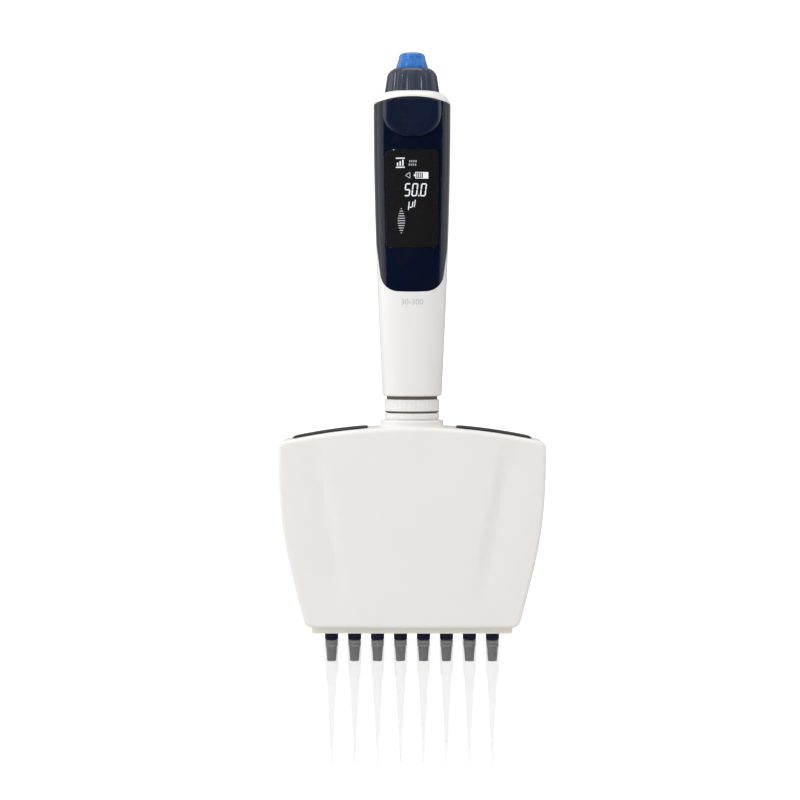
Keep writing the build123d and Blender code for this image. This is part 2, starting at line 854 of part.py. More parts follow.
with BuildPart() as finger_hook:
    with BuildSketch(Plane.YZ):
        with BuildLine():
            Polyline(
                (hook_back - hook_root, hook_top_z),
                (hook_reach - hook_nose, hook_top_z - hook_nose - hook_taper),
                (hook_reach, hook_rest_z + hook_nose / 2),
                (hook_reach - 2 * hook_taper, hook_rest_z - hook_lip_drop),
                (hook_reach - hook_lip + hook_taper, hook_rest_z - hook_lip_drop),
                (hook_reach - hook_lip - hook_taper, hook_rest_z),
                (hook_back, hook_rest_z),
                (hook_back - hook_taper, hook_foot_z),
                (hook_back - hook_root, hook_foot_z),
                close=True,
            )
        make_face()
        nose_x = hook_reach - hook_nose - pick_tolerance
        lip_z = hook_rest_z - hook_lip_drop + pick_tolerance
        fillet(vertices().filter_by(lambda v: v.X > nose_x and v.Y > hook_rest_z), hook_nose_fillet)
        fillet(vertices().filter_by(lambda v: v.X > hook_back and v.Y < lip_z), hook_lip_fillet)
        fillet(vertices().filter_by(lambda v: abs(v.Y - hook_rest_z) < pick_tolerance), hook_rest_fillet)
    extrude(amount=hook_half_width, both=True)
    fillet(finger_hook.edges().group_by(Axis.X)[0], hook_edge_fillet)
    fillet(finger_hook.edges().group_by(Axis.X)[-1], hook_edge_fillet)
    add(handle_seat, mode=Mode.SUBTRACT)
export(finger_hook, "finger_hook")

# ---------------------------------------------------------------- handle: drive
with BuildPart() as motor_body:
    with BuildSketch(Plane.XY.offset(motor_foot_z)):
        Circle(motor_radius)
        Circle(lead_screw_radius + moving_gap, mode=Mode.SUBTRACT)
    extrude(amount=motor_height)
    with BuildSketch(Plane.XY.offset(motor_foot_z + motor_end_wall)):
        Circle(rotor_radius + running_gap)
    extrude(amount=motor_height - motor_end_wall, mode=Mode.SUBTRACT)
export(motor_body, "motor_body")

with BuildPart() as motor_mount:
    mount_sizes = handle_sizes(motor_top_z, handle_wall + fixed_gap)
    with BuildSketch(Plane.XY.offset(motor_top_z)):
        Circle(motor_radius + mount_lip)
        with Locations((0, (mount_sizes[2] - mount_sizes[1]) / 2)):
            Rectangle(mount_arm_width, mount_sizes[1] + mount_sizes[2] - mount_lip)
        Circle(lead_screw_radius + moving_gap, mode=Mode.SUBTRACT)
    extrude(amount=mount_height)
export(motor_mount, "motor_mount")

with BuildPart() as motor_rotor:
    with BuildSketch(Plane.XY.offset(motor_foot_z + motor_end_wall + fixed_gap)):
        Circle(rotor_radius)
        Circle(lead_screw_radius + running_gap, mode=Mode.SUBTRACT)
    extrude(amount=motor_height - motor_end_wall - 2 * fixed_gap)
export(motor_rotor, "motor_rotor")

with BuildPart() as lead_screw:
    with BuildSketch(Plane.XY.offset(lead_screw_foot_z)):
        Circle(lead_screw_radius)
    extrude(amount=lead_screw_top_z - lead_screw_foot_z)
    chamfer(lead_screw.edges().group_by(Axis.Z)[-1], shaft_chamfer)
export(lead_screw, "lead_screw")

drive_foot_z = carrier_top_z - drive_foot_height - fixed_gap
with BuildPart() as drive_rod:
    with BuildSketch(Plane.XY.offset(drive_foot_z)):
        Circle(drive_foot_radius)
    extrude(amount=drive_foot_height)
    with BuildSketch(Plane.XY.offset(drive_foot_z)):
        Circle(drive_rod_radius)
    extrude(amount=lead_screw_foot_z - drive_foot_z)
export(drive_rod, "drive_rod")

# ---------------------------------------------------------------- handle: neck
with BuildPart() as neck_spindle:
    with BuildSketch(Plane.XY.offset(spindle_foot_z)):
        Circle(spindle_radius)
    extrude(amount=spindle_top_z - spindle_foot_z)
    with BuildSketch(Plane.XY.offset(handle_floor_z)):
        Circle(spindle_flange_radius)
    extrude(amount=spindle_flange_height)
    with BuildSketch(Plane.XY.offset(ring_foot_z)):
        Circle(spindle_radius + fixed_gap)
        Circle(spindle_radius - spindle_groove_depth, mode=Mode.SUBTRACT)
    extrude(amount=retaining_ring_height, mode=Mode.SUBTRACT)
    with BuildSketch(Plane.XY.offset(spindle_foot_z)):
        Circle(spindle_bore_radius)
    extrude(amount=spindle_top_z - spindle_foot_z, mode=Mode.SUBTRACT)
export(neck_spindle, "neck_spindle")

with BuildPart() as retaining_ring:
    with BuildSketch(Plane.XY.offset(ring_foot_z + ring_gap)):
        Circle(spindle_radius - spindle_groove_depth + ring_gap + retaining_ring_width)
        Circle(spindle_radius - spindle_groove_depth + ring_gap, mode=Mode.SUBTRACT)
        with Locations((spindle_radius, 0)):
            Rectangle(4 * retaining_ring_width, retaining_ring_opening, mode=Mode.SUBTRACT)
    extrude(amount=retaining_ring_height - 2 * ring_gap)
export(retaining_ring, "retaining_ring")

with BuildPart() as swivel_washer:
    with BuildSketch(Plane.XY.offset(swivel_washer_z)):
        Circle(swivel_washer_radius)
        Circle(spindle_radius + fixed_gap, mode=Mode.SUBTRACT)
    extrude(amount=swivel_washer_height)
export(swivel_washer, "swivel_washer")

with BuildPart() as coupling_nut:
    with BuildSketch(Plane.XY.offset(coupling_nut_z)):
        Circle(neck_ring_radius)
        Circle(spindle_radius + fixed_gap, mode=Mode.SUBTRACT)
    extrude(amount=coupling_nut_height)
    fillet(coupling_nut.edges().group_by(Axis.Z)[-1].sort_by(SortBy.RADIUS)[-1], coupling_fillet)
    with BuildSketch(Plane.XY.offset(coupling_nut_z + coupling_rib_radius)):
        with PolarLocations(neck_ring_radius + coupling_rib_radius - coupling_rib_depth, coupling_rib_count):
            Circle(coupling_rib_radius)
    extrude(amount=coupling_nut_height - 2 * coupling_rib_radius, mode=Mode.SUBTRACT)
export(coupling_nut, "coupling_nut")

with BuildPart() as neck_washer:
    with BuildSketch(Plane.XY.offset(neck_washer_z)):
        Circle(neck_washer_radius)
        Circle(spindle_radius + fixed_gap, mode=Mode.SUBTRACT)
    extrude(amount=handle_foot_z - neck_washer_z)
export(neck_washer, "neck_washer")

# ---------------------------------------------------------------- setting wheel and button
wheel_flutes = fluted(
    wheel_flute_count, wheel_foot_radius, wheel_flute_radius, wheel_flute_depth,
    wheel_foot_z - flute_overrun, wheel_height + 4 * flute_overrun, wheel_flute_lean,
)
button_flutes = fluted(
    button_flute_count, button_radius, button_flute_radius, button_flute_depth,
    button_foot_z + button_rim_height, button_height + 4 * flute_overrun, button_flute_lean,
)

with BuildPart() as setting_wheel:
    with BuildSketch(Plane.XZ):
        with BuildLine():
            Polyline(
                (0, wheel_foot_z),
                (wheel_foot_radius, wheel_foot_z),
                (wheel_shoulder_radius, wheel_foot_z + wheel_shoulder_height),
            )
            ThreePointArc(
                (wheel_shoulder_radius, wheel_foot_z + wheel_shoulder_height),
                (wheel_shoulder_radius - wheel_crown_bulge, wheel_top_z - wheel_crown_drop),
                (wheel_top_radius, wheel_top_z),
            )
            Polyline((wheel_top_radius, wheel_top_z), (0, wheel_top_z), (0, wheel_foot_z))
        make_face()
    revolve(axis=Axis.Z)
    add(wheel_flutes, mode=Mode.SUBTRACT)
    with BuildSketch(Plane.XY.offset(wheel_foot_z)):
        Circle(button_radius + moving_gap)
    extrude(amount=wheel_height, mode=Mode.SUBTRACT)
    with BuildSketch(Plane.XY.offset(wheel_foot_z)):
        Circle(post_radius + running_gap)
    extrude(amount=post_height, mode=Mode.SUBTRACT)
    with BuildSketch(Plane.XY.offset(wheel_foot_z)):
        Circle(post_radius + running_gap + encoder_ring_wall + fixed_gap)
    extrude(amount=encoder_ring_height + fixed_gap, mode=Mode.SUBTRACT)
export(setting_wheel, "setting_wheel")

with BuildPart() as encoder_ring:
    with BuildSketch(Plane.XY.offset(wheel_foot_z)):
        Circle(post_radius + running_gap + encoder_ring_wall)
        Circle(post_radius + running_gap, mode=Mode.SUBTRACT)
    extrude(amount=encoder_ring_height)
export(encoder_ring, "encoder_ring")

stem_foot_z = plunger_top_z + button_travel + moving_gap
with BuildPart() as operate_button:
    with BuildSketch(Plane.XZ):
        with BuildLine():
            Polyline(
                (0, button_foot_z - button_lap),
                (button_radius, button_foot_z - button_lap),
                (button_radius, button_foot_z + button_rim_height),
                (button_shoulder_radius, button_foot_z + button_shoulder_height),
            )
            ThreePointArc(
                (button_shoulder_radius, button_foot_z + button_shoulder_height),
                (button_shoulder_radius - button_crown_bulge, button_top_z - button_crown_drop),
                (button_top_radius, button_top_z),
            )
            Polyline((button_top_radius, button_top_z), (0, button_top_z), (0, button_foot_z - button_lap))
        make_face()
    revolve(axis=Axis.Z)
    add(button_flutes, mode=Mode.SUBTRACT)
    with BuildSketch(Plane.XY.offset(button_foot_z - button_skirt_length)):
        Circle(button_radius)
        Circle(button_radius - button_skirt_wall, mode=Mode.SUBTRACT)
    extrude(amount=button_skirt_length - button_lap / 2)
    with BuildSketch(Plane.XY.offset(stem_foot_z)):
        Circle(button_stem_radius)
    extrude(amount=button_foot_z - button_lap / 2 - stem_foot_z)
export(operate_button, "operate_button")

with BuildPart() as button_spring:
    add(coil(
        (button_stem_radius + button_radius - button_skirt_wall) / 2, button_spring_wire,
        button_spring_turns, dome_top_z, button_foot_z - button_lap - dome_top_z,
    ))
export(button_spring, "button_spring")

# ---------------------------------------------------------------- tip ejector
thumb_levels = (0, 0.08, 0.25, 0.55, 1)
dish_share = (1 - thumb_dish_drop / thumb_height) ** thumb_swell
thumb_dish_reach = thumb_foot_reach + (thumb_reach - thumb_foot_reach) * dish_share
thumb_clearance = handle_form(-moving_gap, handle_foot_z)
with BuildPart() as ejector_button:
    for level in thumb_levels:
        widening = sin(pi / 2 * min(1, level / thumb_round_share)) ** thumb_fullness
        half_width = thumb_foot_half_width + (thumb_half_width - thumb_foot_half_width) * widening
        reach = thumb_foot_reach + (thumb_reach - thumb_foot_reach) * level ** thumb_swell
        corner = thumb_foot_corner + (thumb_corner - thumb_foot_corner) * widening
        with BuildSketch(Plane.XY.offset(thumb_top_z - thumb_height * (1 - level))):
            with Locations((0, thumb_centre_y)):
                RectangleRounded(2 * half_width, 2 * (reach + thumb_centre_y), corner)
    loft()
    fillet(ejector_button.edges().group_by(Axis.Z)[-1], thumb_edge_fillet)
    dish_y = thumb_dish_depth - thumb_dish_radius - thumb_dish_reach
    with Locations((0, dish_y, thumb_top_z - thumb_dish_drop)):
        Sphere(thumb_dish_radius, mode=Mode.SUBTRACT)
    add(thumb_clearance, mode=Mode.SUBTRACT)
    add(side_half(0, False), mode=Mode.SUBTRACT)
    with BuildSketch(Plane.XZ):
        with Locations((0, (bridge_foot_z + bridge_top_z) / 2)):
            Rectangle(2 * (stirrup_arm_half_width + fixed_gap), stirrup_height + 2 * fixed_gap)
    extrude(amount=stirrup_arm_reach + fixed_gap, mode=Mode.SUBTRACT)
export(ejector_button, "ejector_button")

with BuildPart() as ejector_stirrup:
    strap_outer_x = strap_inner_x + strap_thickness
    with BuildSketch(Plane.XY.offset(stirrup_foot_z)):
        Rectangle(2 * strap_outer_x, 2 * strap_half_width)
        Circle(sleeve_flange_radius)
        Circle(sleeve_bore_radius, mode=Mode.SUBTRACT)
    extrude(amount=stirrup_height)
    with BuildSketch(Plane.XY.offset(stirrup_foot_z)):
        with GridLocations(2 * strap_inner_x + strap_thickness, 0, 2, 1):
            Rectangle(strap_thickness, 2 * strap_half_width)
    extrude(amount=bridge_top_z - stirrup_foot_z)
    with BuildSketch(Plane.XY.offset(bridge_foot_z)):
        with Locations((0, (stirrup_cross_y + strap_half_width) / 2)):
            Rectangle(2 * strap_outer_x, strap_half_width - stirrup_cross_y)
        with Locations((0, (stirrup_cross_y + stirrup_cross_depth + strap_half_width) / 2)):
            Rectangle(
                2 * strap_inner_x, strap_half_width - stirrup_cross_y - stirrup_cross_depth,
                mode=Mode.SUBTRACT,
            )
        with Locations((0, (stirrup_cross_y - stirrup_arm_reach) / 2)):
            Rectangle(2 * stirrup_arm_half_width, stirrup_cross_y + stirrup_arm_reach)
    extrude(amount=stirrup_height)
export(ejector_stirrup, "ejector_stirrup")

with BuildPart() as ejector_sleeve:
    with BuildSketch(Plane.XY.offset(sleeve_foot_z)):
        Circle(sleeve_flange_radius)
    extrude(amount=sleeve_flange_height)
    with BuildSketch(Plane.XY.offset(sleeve_foot_z)):
        Circle(sleeve_radius)
    extrude(amount=stirrup_foot_z - sleeve_foot_z)
    with BuildSketch(Plane.XY.offset(sleeve_foot_z)):
        Circle(sleeve_bore_radius)
    extrude(amount=stirrup_foot_z - sleeve_foot_z, mode=Mode.SUBTRACT)
export(ejector_sleeve, "ejector_sleeve")

with BuildPart() as ejector_spring:
    add(coil(
        sleeve_radius + ejector_spring_gap, ejector_spring_wire, ejector_spring_turns,
        spindle_top_z, ejector_spring_length,
    ))
export(ejector_spring, "ejector_spring")

# ---------------------------------------------------------------- manifold: housing
boss_points = [
    (side * x, z)
    for side in (-1, 1)
    for x, z in (
        (manifold_half_width - boss_inset, manifold_corner_z - 2 * boss_inset),
        (manifold_foot_half_width - boss_foot_inset, manifold_foot_z + 3 * boss_inset),
    )
]
pad_left = pad_form(-1, fixed_gap)
pad_right = pad_form(1, fixed_gap)


def manifold_shell(towards_front):
    """One half of the housing, with its ribs, its bosses and the openings it shares."""
    half = side_half(-seam_gap / 2 if towards_front else seam_gap / 2, towards_front)
    direction = 1 if towards_front else -1
    with BuildPart() as inside:
        with BuildSketch(Plane.XZ):
            with Locations(*boss_points):
                Circle(boss_radius)
                Circle(screw_radius + fixed_gap, mode=Mode.SUBTRACT)
        extrude(amount=direction * 2 * manifold_top_half_depth)
        with BuildSketch(Plane.XZ.offset(direction * (block_half_depth + fixed_gap))):
            with Locations((0, (block_foot_z + block_top_z) / 2)):
                Rectangle(2 * row_half_length, block_height - 6)
        extrude(amount=direction * manifold_top_half_depth)
        add(manifold_root, mode=Mode.INTERSECT)
        add(half, mode=Mode.INTERSECT)
    with BuildPart() as shell:
        add(manifold_outer)
        add(manifold_inner, mode=Mode.SUBTRACT)
        add(half, mode=Mode.INTERSECT)
        add(inside.part)
        with BuildSketch(Plane.XY.offset(manifold_top_z - 2 * manifold_wall - 1)):
            Circle(hub_body_radius + fixed_gap)
        extrude(amount=4 * manifold_wall, mode=Mode.SUBTRACT)
        with BuildSketch(Plane.XY.offset(manifold_top_z - hub_seat_depth)):
            Circle(hub_foot_radius + fixed_gap)
        extrude(amount=manifold_wall, mode=Mode.SUBTRACT)
        with BuildSketch(Plane.XY.offset(manifold_foot_z - 1)):
            RectangleRounded(
                2 * (ejector_bar_half_width + moving_gap), 2 * (ejector_bar_half_depth + moving_gap),
                ejector_bar_corner + moving_gap,
            )
        extrude(amount=manifold_wall + 2, mode=Mode.SUBTRACT)
        add(pad_left, mode=Mode.SUBTRACT)
        add(pad_right, mode=Mode.SUBTRACT)
    return shell.part


front_housing_half = manifold_shell(True)
rear_housing_half = manifold_shell(False)

with BuildPart() as manifold_front_shell:
    add(front_housing_half)
export(manifold_front_shell, "manifold_front_shell")

head_y = manifold_foot_half_depth - screw_head_recess
with BuildPart() as manifold_rear_shell:
    add(rear_housing_half)
    with BuildSketch(Plane.XZ.offset(-head_y)):
        with Locations(*boss_points):
            Circle(screw_head_radius + fixed_gap)
    extrude(amount=-manifold_top_half_depth, mode=Mode.SUBTRACT)
    with BuildSketch(Plane.XZ.offset(-head_y)):
        with Locations(*boss_points):
            Circle(screw_radius + fixed_gap)
    extrude(amount=2 * manifold_wall, mode=Mode.SUBTRACT)
export(manifold_rear_shell, "manifold_rear_shell")

with BuildPart() as manifold_screws:
    with BuildSketch(Plane.XZ.offset(-(head_y + fixed_gap))):
        with Locations(*boss_points):
            Circle(screw_head_radius)
    extrude(amount=-screw_head_height)
    with BuildSketch(Plane.XZ.offset(-(head_y + fixed_gap + screw_head_height))):
        with Locations(*boss_points):
            RegularPolygon(screw_radius, 6)
    extrude(amount=screw_drive_depth, mode=Mode.SUBTRACT)
    with BuildSketch(Plane.XZ.offset(-(head_y + fixed_gap))):
        with Locations(*boss_points):
            Circle(screw_radius)
    extrude(amount=screw_length)
export(manifold_screws, "manifold_screws")

for side, name in ((-1, "shoulder_pad_left"), (1, "shoulder_pad_right")):
    with BuildPart() as shoulder_pad:
        add(pad_form(side, 0))
        fillet(shoulder_pad.faces().sort_by(Axis.Z)[-1].edges(), pad_fillet)
    export(shoulder_pad, name)

with BuildPart() as manifold_hub:
    with BuildSketch(Plane.XZ):
        with BuildLine():
            collar_foot_z = ceiling_z - hub_collar_height
            hub_seat_z = manifold_top_z - hub_seat_depth + fixed_gap / 2
            flange_top_z = manifold_top_z + hub_flange_height
            groove_top_z = flange_top_z + hub_groove_height
            Polyline(
                (spindle_radius + running_gap, hub_foot_z),
                (hub_body_radius, hub_foot_z),
                (hub_body_radius, collar_foot_z),
                (hub_collar_radius, collar_foot_z),
                (hub_collar_radius, ceiling_z - fixed_gap),
                (hub_body_radius, ceiling_z - fixed_gap),
                (hub_body_radius, hub_seat_z),
                (hub_foot_radius, hub_seat_z),
                (hub_foot_radius, manifold_top_z - hub_flare_dip),
            )
            ThreePointArc(
                (hub_foot_radius, manifold_top_z - hub_flare_dip),
                (hub_flange_radius + hub_flare_dip, manifold_top_z + hub_flare_dip),
                (hub_flange_radius, manifold_top_z + hub_flare_height),
            )
            Polyline(
                (hub_flange_radius, manifold_top_z + hub_flare_height),
                (hub_flange_radius, flange_top_z - hub_chamfer),
                (hub_flange_radius - hub_chamfer, flange_top_z),
                (hub_groove_radius, flange_top_z),
                (hub_groove_radius, groove_top_z),
                (neck_ring_radius, groove_top_z),
                (neck_ring_radius, hub_top_z - hub_chamfer),
                (neck_ring_radius - hub_chamfer, hub_top_z),
                (spindle_radius + running_gap, hub_top_z),
                (spindle_radius + running_gap, hub_foot_z),
            )
        make_face()
    revolve(axis=Axis.Z)
export(manifold_hub, "manifold_hub")

# ---------------------------------------------------------------- manifold: block and nozzles
with BuildPart() as nozzle_block:
    with BuildSketch(Plane.XY.offset(block_foot_z)):
        RectangleRounded(2 * block_half_width, 2 * block_half_depth, block_corner)
    extrude(amount=block_height)
    with BuildSketch(Plane.XY.offset(block_foot_z)):
        with Locations(*[(x, 0) for x in row_x]):
            Circle(nozzle_shank_radius + fixed_gap / 2)
    extrude(amount=cylinder_foot_z - block_foot_z, mode=Mode.SUBTRACT)
    with BuildSketch(Plane.XY.offset(cylinder_foot_z)):
        with Locations(*[(x, 0) for x in row_x]):
            Circle(piston_radius + running_gap)
    extrude(amount=block_top_z - cylinder_foot_z, mode=Mode.SUBTRACT)
    with BuildSketch(Plane.XY.offset(block_top_z - seal_height)):
        with Locations(*[(x, 0) for x in row_x]):
            Circle(seal_radius + fixed_gap / 2)
    extrude(amount=seal_height, mode=Mode.SUBTRACT)
    with BuildSketch(Plane.XY.offset(block_top_z - pillar_depth)):
        with GridLocations(pillar_spacing_x, pillar_spacing_y, 2, 2):
            Circle(pillar_radius + fixed_gap / 2)
    extrude(amount=pillar_depth, mode=Mode.SUBTRACT)
export(nozzle_block, "nozzle_block")

with BuildPart() as piston_seals:
    with BuildSketch(Plane.XY.offset(block_top_z - seal_height)):
        with Locations(*[(x, 0) for x in row_x]):
            Circle(seal_radius)
            Circle(piston_radius + running_gap / 2, mode=Mode.SUBTRACT)
    extrude(amount=seal_height - ring_gap)
export(piston_seals, "piston_seals")

with BuildPart() as seal_plate:
    with BuildSketch(Plane.XY.offset(block_top_z)):
        RectangleRounded(2 * block_half_width, 2 * block_half_depth, block_corner)
        with Locations(*[(x, 0) for x in row_x]):
            Circle(piston_radius + 2 * running_gap, mode=Mode.SUBTRACT)
        with GridLocations(pillar_spacing_x, pillar_spacing_y, 2, 2):
            Circle(pillar_radius + fixed_gap / 2, mode=Mode.SUBTRACT)
    extrude(amount=seal_plate_height)
export(seal_plate, "seal_plate")

with BuildPart() as guide_pillars:
    with BuildSketch(Plane.XY.offset(block_top_z - pillar_depth)):
        with GridLocations(pillar_spacing_x, pillar_spacing_y, 2, 2):
            Circle(pillar_radius)
    extrude(amount=pillar_top_z - block_top_z + pillar_depth)
export(guide_pillars, "guide_pillars")

with BuildPart() as pistons:
    with BuildSketch(Plane.XY.offset(piston_foot_z)):
        with Locations(*[(x, 0) for x in row_x]):
            Circle(piston_radius)
    extrude(amount=carrier_foot_z + piston_seat - piston_foot_z)
    chamfer(pistons.edges().group_by(Axis.Z)[0], shaft_chamfer)
export(pistons, "pistons")

with BuildPart() as piston_carrier:
    with BuildSketch(Plane.XY.offset(carrier_foot_z)):
        RectangleRounded(2 * (block_half_width - fixed_gap), 2 * block_half_depth, block_corner)
    extrude(amount=carrier_height)
    with BuildSketch(Plane.XY.offset(carrier_foot_z)):
        with Locations(*[(x, 0) for x in row_x]):
            Circle(piston_radius + fixed_gap / 2)
    extrude(amount=piston_seat + fixed_gap, mode=Mode.SUBTRACT)
    with BuildSketch(Plane.XY.offset(carrier_foot_z)):
        with GridLocations(pillar_spacing_x, pillar_spacing_y, 2, 2):
            Circle(pillar_radius + running_gap)
    extrude(amount=carrier_height, mode=Mode.SUBTRACT)
    with BuildSketch(Plane.XY.offset(drive_foot_z - fixed_gap)):
        Circle(drive_foot_radius + fixed_gap)
    extrude(amount=drive_foot_height + 3 * fixed_gap, mode=Mode.SUBTRACT)
export(piston_carrier, "piston_carrier")

with BuildPart() as carrier_cap:
    with BuildSketch(Plane.XY.offset(carrier_top_z)):
        Circle(carrier_boss_radius)
        Circle(drive_rod_radius + fixed_gap, mode=Mode.SUBTRACT)
    extrude(amount=carrier_cap_height)
export(carrier_cap, "carrier_cap")

nozzle_end_z = tip_length - nozzle_insertion
collar_z = tip_length + nozzle_collar_gap
ring_levels = [tip_length - nozzle_ring_drop - index * nozzle_ring_spacing for index in range(2)]
tip_inner_rim = tip_rim_radius - tip_wall


def cone_radius(z):
    """Radius of the nozzle's cone at a height."""
    share = (z - nozzle_end_z) / (collar_z - nozzle_end_z)
    return nozzle_end_radius + (nozzle_cone_radius - nozzle_end_radius) * share


with BuildPart() as nozzles:
    for x in row_x:
        with BuildSketch(row_plane(x)):
            with BuildLine():
                Polyline(
                    (nozzle_bore_radius, nozzle_end_z),
                    (nozzle_end_radius, nozzle_end_z),
                    (nozzle_cone_radius, collar_z),
                    (nozzle_collar_radius, collar_z),
                    (nozzle_collar_radius, block_foot_z),
                    (nozzle_shank_radius, block_foot_z),
                    (nozzle_shank_radius, block_foot_z + nozzle_shank_length),
                    (nozzle_bore_radius, block_foot_z + nozzle_shank_length),
                    close=True,
                )
            make_face()
        revolve(axis=upright_axis(x))
        for level in ring_levels:
            with BuildSketch(Plane.XY.offset(level - nozzle_ring_section)):
                with Locations((x, 0)):
                    Circle(nozzle_cone_radius + fixed_gap)
                    Circle(cone_radius(level) - nozzle_ring_section, mode=Mode.SUBTRACT)
            extrude(amount=2 * nozzle_ring_section, mode=Mode.SUBTRACT)
export(nozzles, "nozzles")


def tip_bore(z):
    """Radius of the tip's socket at a height."""
    share = (tip_length - z) / tip_socket_depth
    return tip_inner_rim - tip_socket_taper * share


with BuildPart() as nozzle_o_rings:
    for x in row_x:
        for level in ring_levels:
            groove = cone_radius(level) - nozzle_ring_section
            reach = tip_bore(level) - nozzle_ring_gap
            with BuildSketch(Plane.XY.offset(level - nozzle_ring_section + ring_gap)):
                with Locations((x, 0)):
                    Circle(reach)
                    Circle(groove + seat_overlap, mode=Mode.SUBTRACT)
            extrude(amount=2 * (nozzle_ring_section - ring_gap))
export(nozzle_o_rings, "nozzle_o_rings")

# ---------------------------------------------------------------- ejector bar and yoke
with BuildPart() as ejector_bar:
    with BuildSketch(Plane.XY.offset(bar_foot_z)):
        RectangleRounded(2 * ejector_bar_half_width, 2 * ejector_bar_half_depth, ejector_bar_corner)
        with Locations(*[(x, 0) for x in row_x]):
            Circle(nozzle_collar_radius + ejector_hole_gap, mode=Mode.SUBTRACT)
    extrude(amount=ejector_bar_height)
    fillet(ejector_bar.faces().sort_by(Axis.Z)[0].outer_wire().edges(), ejector_bar_fillet)
export(ejector_bar, "ejector_bar")

leg_outer_x = leg_inner_x + yoke_leg_thickness
with BuildPart() as ejector_yoke:
    with BuildSketch(Plane.XY.offset(bar_foot_z + ejector_bar_height)):
        with GridLocations(leg_inner_x + leg_outer_x, 0, 2, 1):
            Rectangle(yoke_leg_thickness, 2 * yoke_half_depth)
    extrude(amount=yoke_bridge_z + yoke_bridge_height - bar_foot_z - ejector_bar_height)
    with BuildSketch(Plane.XY.offset(yoke_bridge_z)):
        Rectangle(2 * leg_outer_x, 2 * yoke_half_depth)
        Circle(yoke_ring_radius)
        Circle(drive_rod_radius + 2 * moving_gap, mode=Mode.SUBTRACT)
    extrude(amount=yoke_bridge_height)
export(ejector_yoke, "ejector_yoke")

# ---------------------------------------------------------------- tips
shoulder_z = tip_length - tip_socket_depth
body_z = shoulder_z - tip_shoulder_height
for index, x in enumerate(row_x):
    with BuildPart() as tip:
        with BuildSketch(row_plane(x)):
            with BuildLine():
                Polyline(
                    (tip_end_radius - tip_end_wall, 0),
                    (tip_end_radius, 0),
                    (tip_stem_radius, tip_stem_height),
                    (tip_body_radius, body_z),
                    (tip_rim_radius - ring_gap, shoulder_z),
                    (tip_rim_radius, tip_length - tip_bead_height),
                    (tip_rim_radius + tip_bead_proud, tip_length - tip_bead_height),
                    (tip_rim_radius + tip_bead_proud, tip_length),
                    (tip_inner_rim, tip_length),
                    (tip_bore(shoulder_z), shoulder_z),
                    (tip_body_radius - tip_wall, body_z),
                    (tip_stem_radius - tip_wall, tip_stem_height),
                    close=True,
                )
            make_face()
        revolve(axis=upright_axis(x))
    export(tip, f"tip_{index + 1}")
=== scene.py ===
# %% [markdown]
# # An electronic eight-channel pipette
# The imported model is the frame: every moving part is already in it, at its real size and place.
# This lesson loads that frame and gives each part the surface that the real one has. Nothing here
# moves or resizes a part of the frame.

# %% Load the frame
import json
from math import cos, pi, radians, sin

import bmesh
import bpy
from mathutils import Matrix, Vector
from mathutils.bvhtree import BVHTree


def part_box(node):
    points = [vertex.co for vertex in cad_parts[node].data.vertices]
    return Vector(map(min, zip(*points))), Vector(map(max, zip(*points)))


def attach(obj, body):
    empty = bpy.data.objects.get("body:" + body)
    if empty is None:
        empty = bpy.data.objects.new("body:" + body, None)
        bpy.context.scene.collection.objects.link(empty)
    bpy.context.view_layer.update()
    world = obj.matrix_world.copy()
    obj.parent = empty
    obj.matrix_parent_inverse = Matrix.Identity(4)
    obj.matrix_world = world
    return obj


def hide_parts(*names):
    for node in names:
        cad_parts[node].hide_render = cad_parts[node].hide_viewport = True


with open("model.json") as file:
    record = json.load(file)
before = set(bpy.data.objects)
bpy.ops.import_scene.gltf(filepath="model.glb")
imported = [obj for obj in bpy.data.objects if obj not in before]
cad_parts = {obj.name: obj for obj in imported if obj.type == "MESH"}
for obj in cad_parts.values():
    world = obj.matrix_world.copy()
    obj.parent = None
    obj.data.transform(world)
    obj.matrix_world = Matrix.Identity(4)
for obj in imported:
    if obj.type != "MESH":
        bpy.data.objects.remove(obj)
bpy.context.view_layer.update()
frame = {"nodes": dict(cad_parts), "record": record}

nodes = frame["nodes"]
slot_of = {part["node"]: part["material_slot"] for part in frame["record"]["subparts"]}
MM = 0.001
print("the frame holds", len(nodes), "nodes")

# %% [markdown]
# Every place in this file comes from the boxes of the frame's nodes. A short function keeps the
# lowest and highest corners of a node, so that a piece can be laid on it or set against it.

# %% Measure the parts that others are placed by
low_glass, high_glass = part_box("display_window")
low_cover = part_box("front_cover")[0]
low_shell, high_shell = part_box("manifold_front_shell")
tip_names = [name for name in sorted(nodes) if name.startswith("tip_")]
print("the display is", round((high_glass.x - low_glass.x) / MM, 1), "mm wide")

# %% [markdown]
# ## Shared effects
# A moulded part is never perfectly smooth: the mould's spark-eroded wall leaves a fine grain.
# A polished part has no grain, but it shows where fingers have been. Both effects are used by
# several materials, so each is a node group with named inputs and outputs. A group gives out
# masks and heights only, and the shader itself stays in each material.


# %% A helper that starts a node group
def start_group(name, inputs, outputs):
    """A shader node group with float sockets, its input and output nodes placed."""
    group = bpy.data.node_groups.new(name, "ShaderNodeTree")
    group.interface.new_socket("Vector", in_out="INPUT", socket_type="NodeSocketVector")
    for label, value in inputs.items():
        socket = group.interface.new_socket(label, in_out="INPUT", socket_type="NodeSocketFloat")
        socket.default_value = value
    for label in outputs:
        group.interface.new_socket(label, in_out="OUTPUT", socket_type="NodeSocketFloat")
    return group, group.nodes.new("NodeGroupInput"), group.nodes.new("NodeGroupOutput")


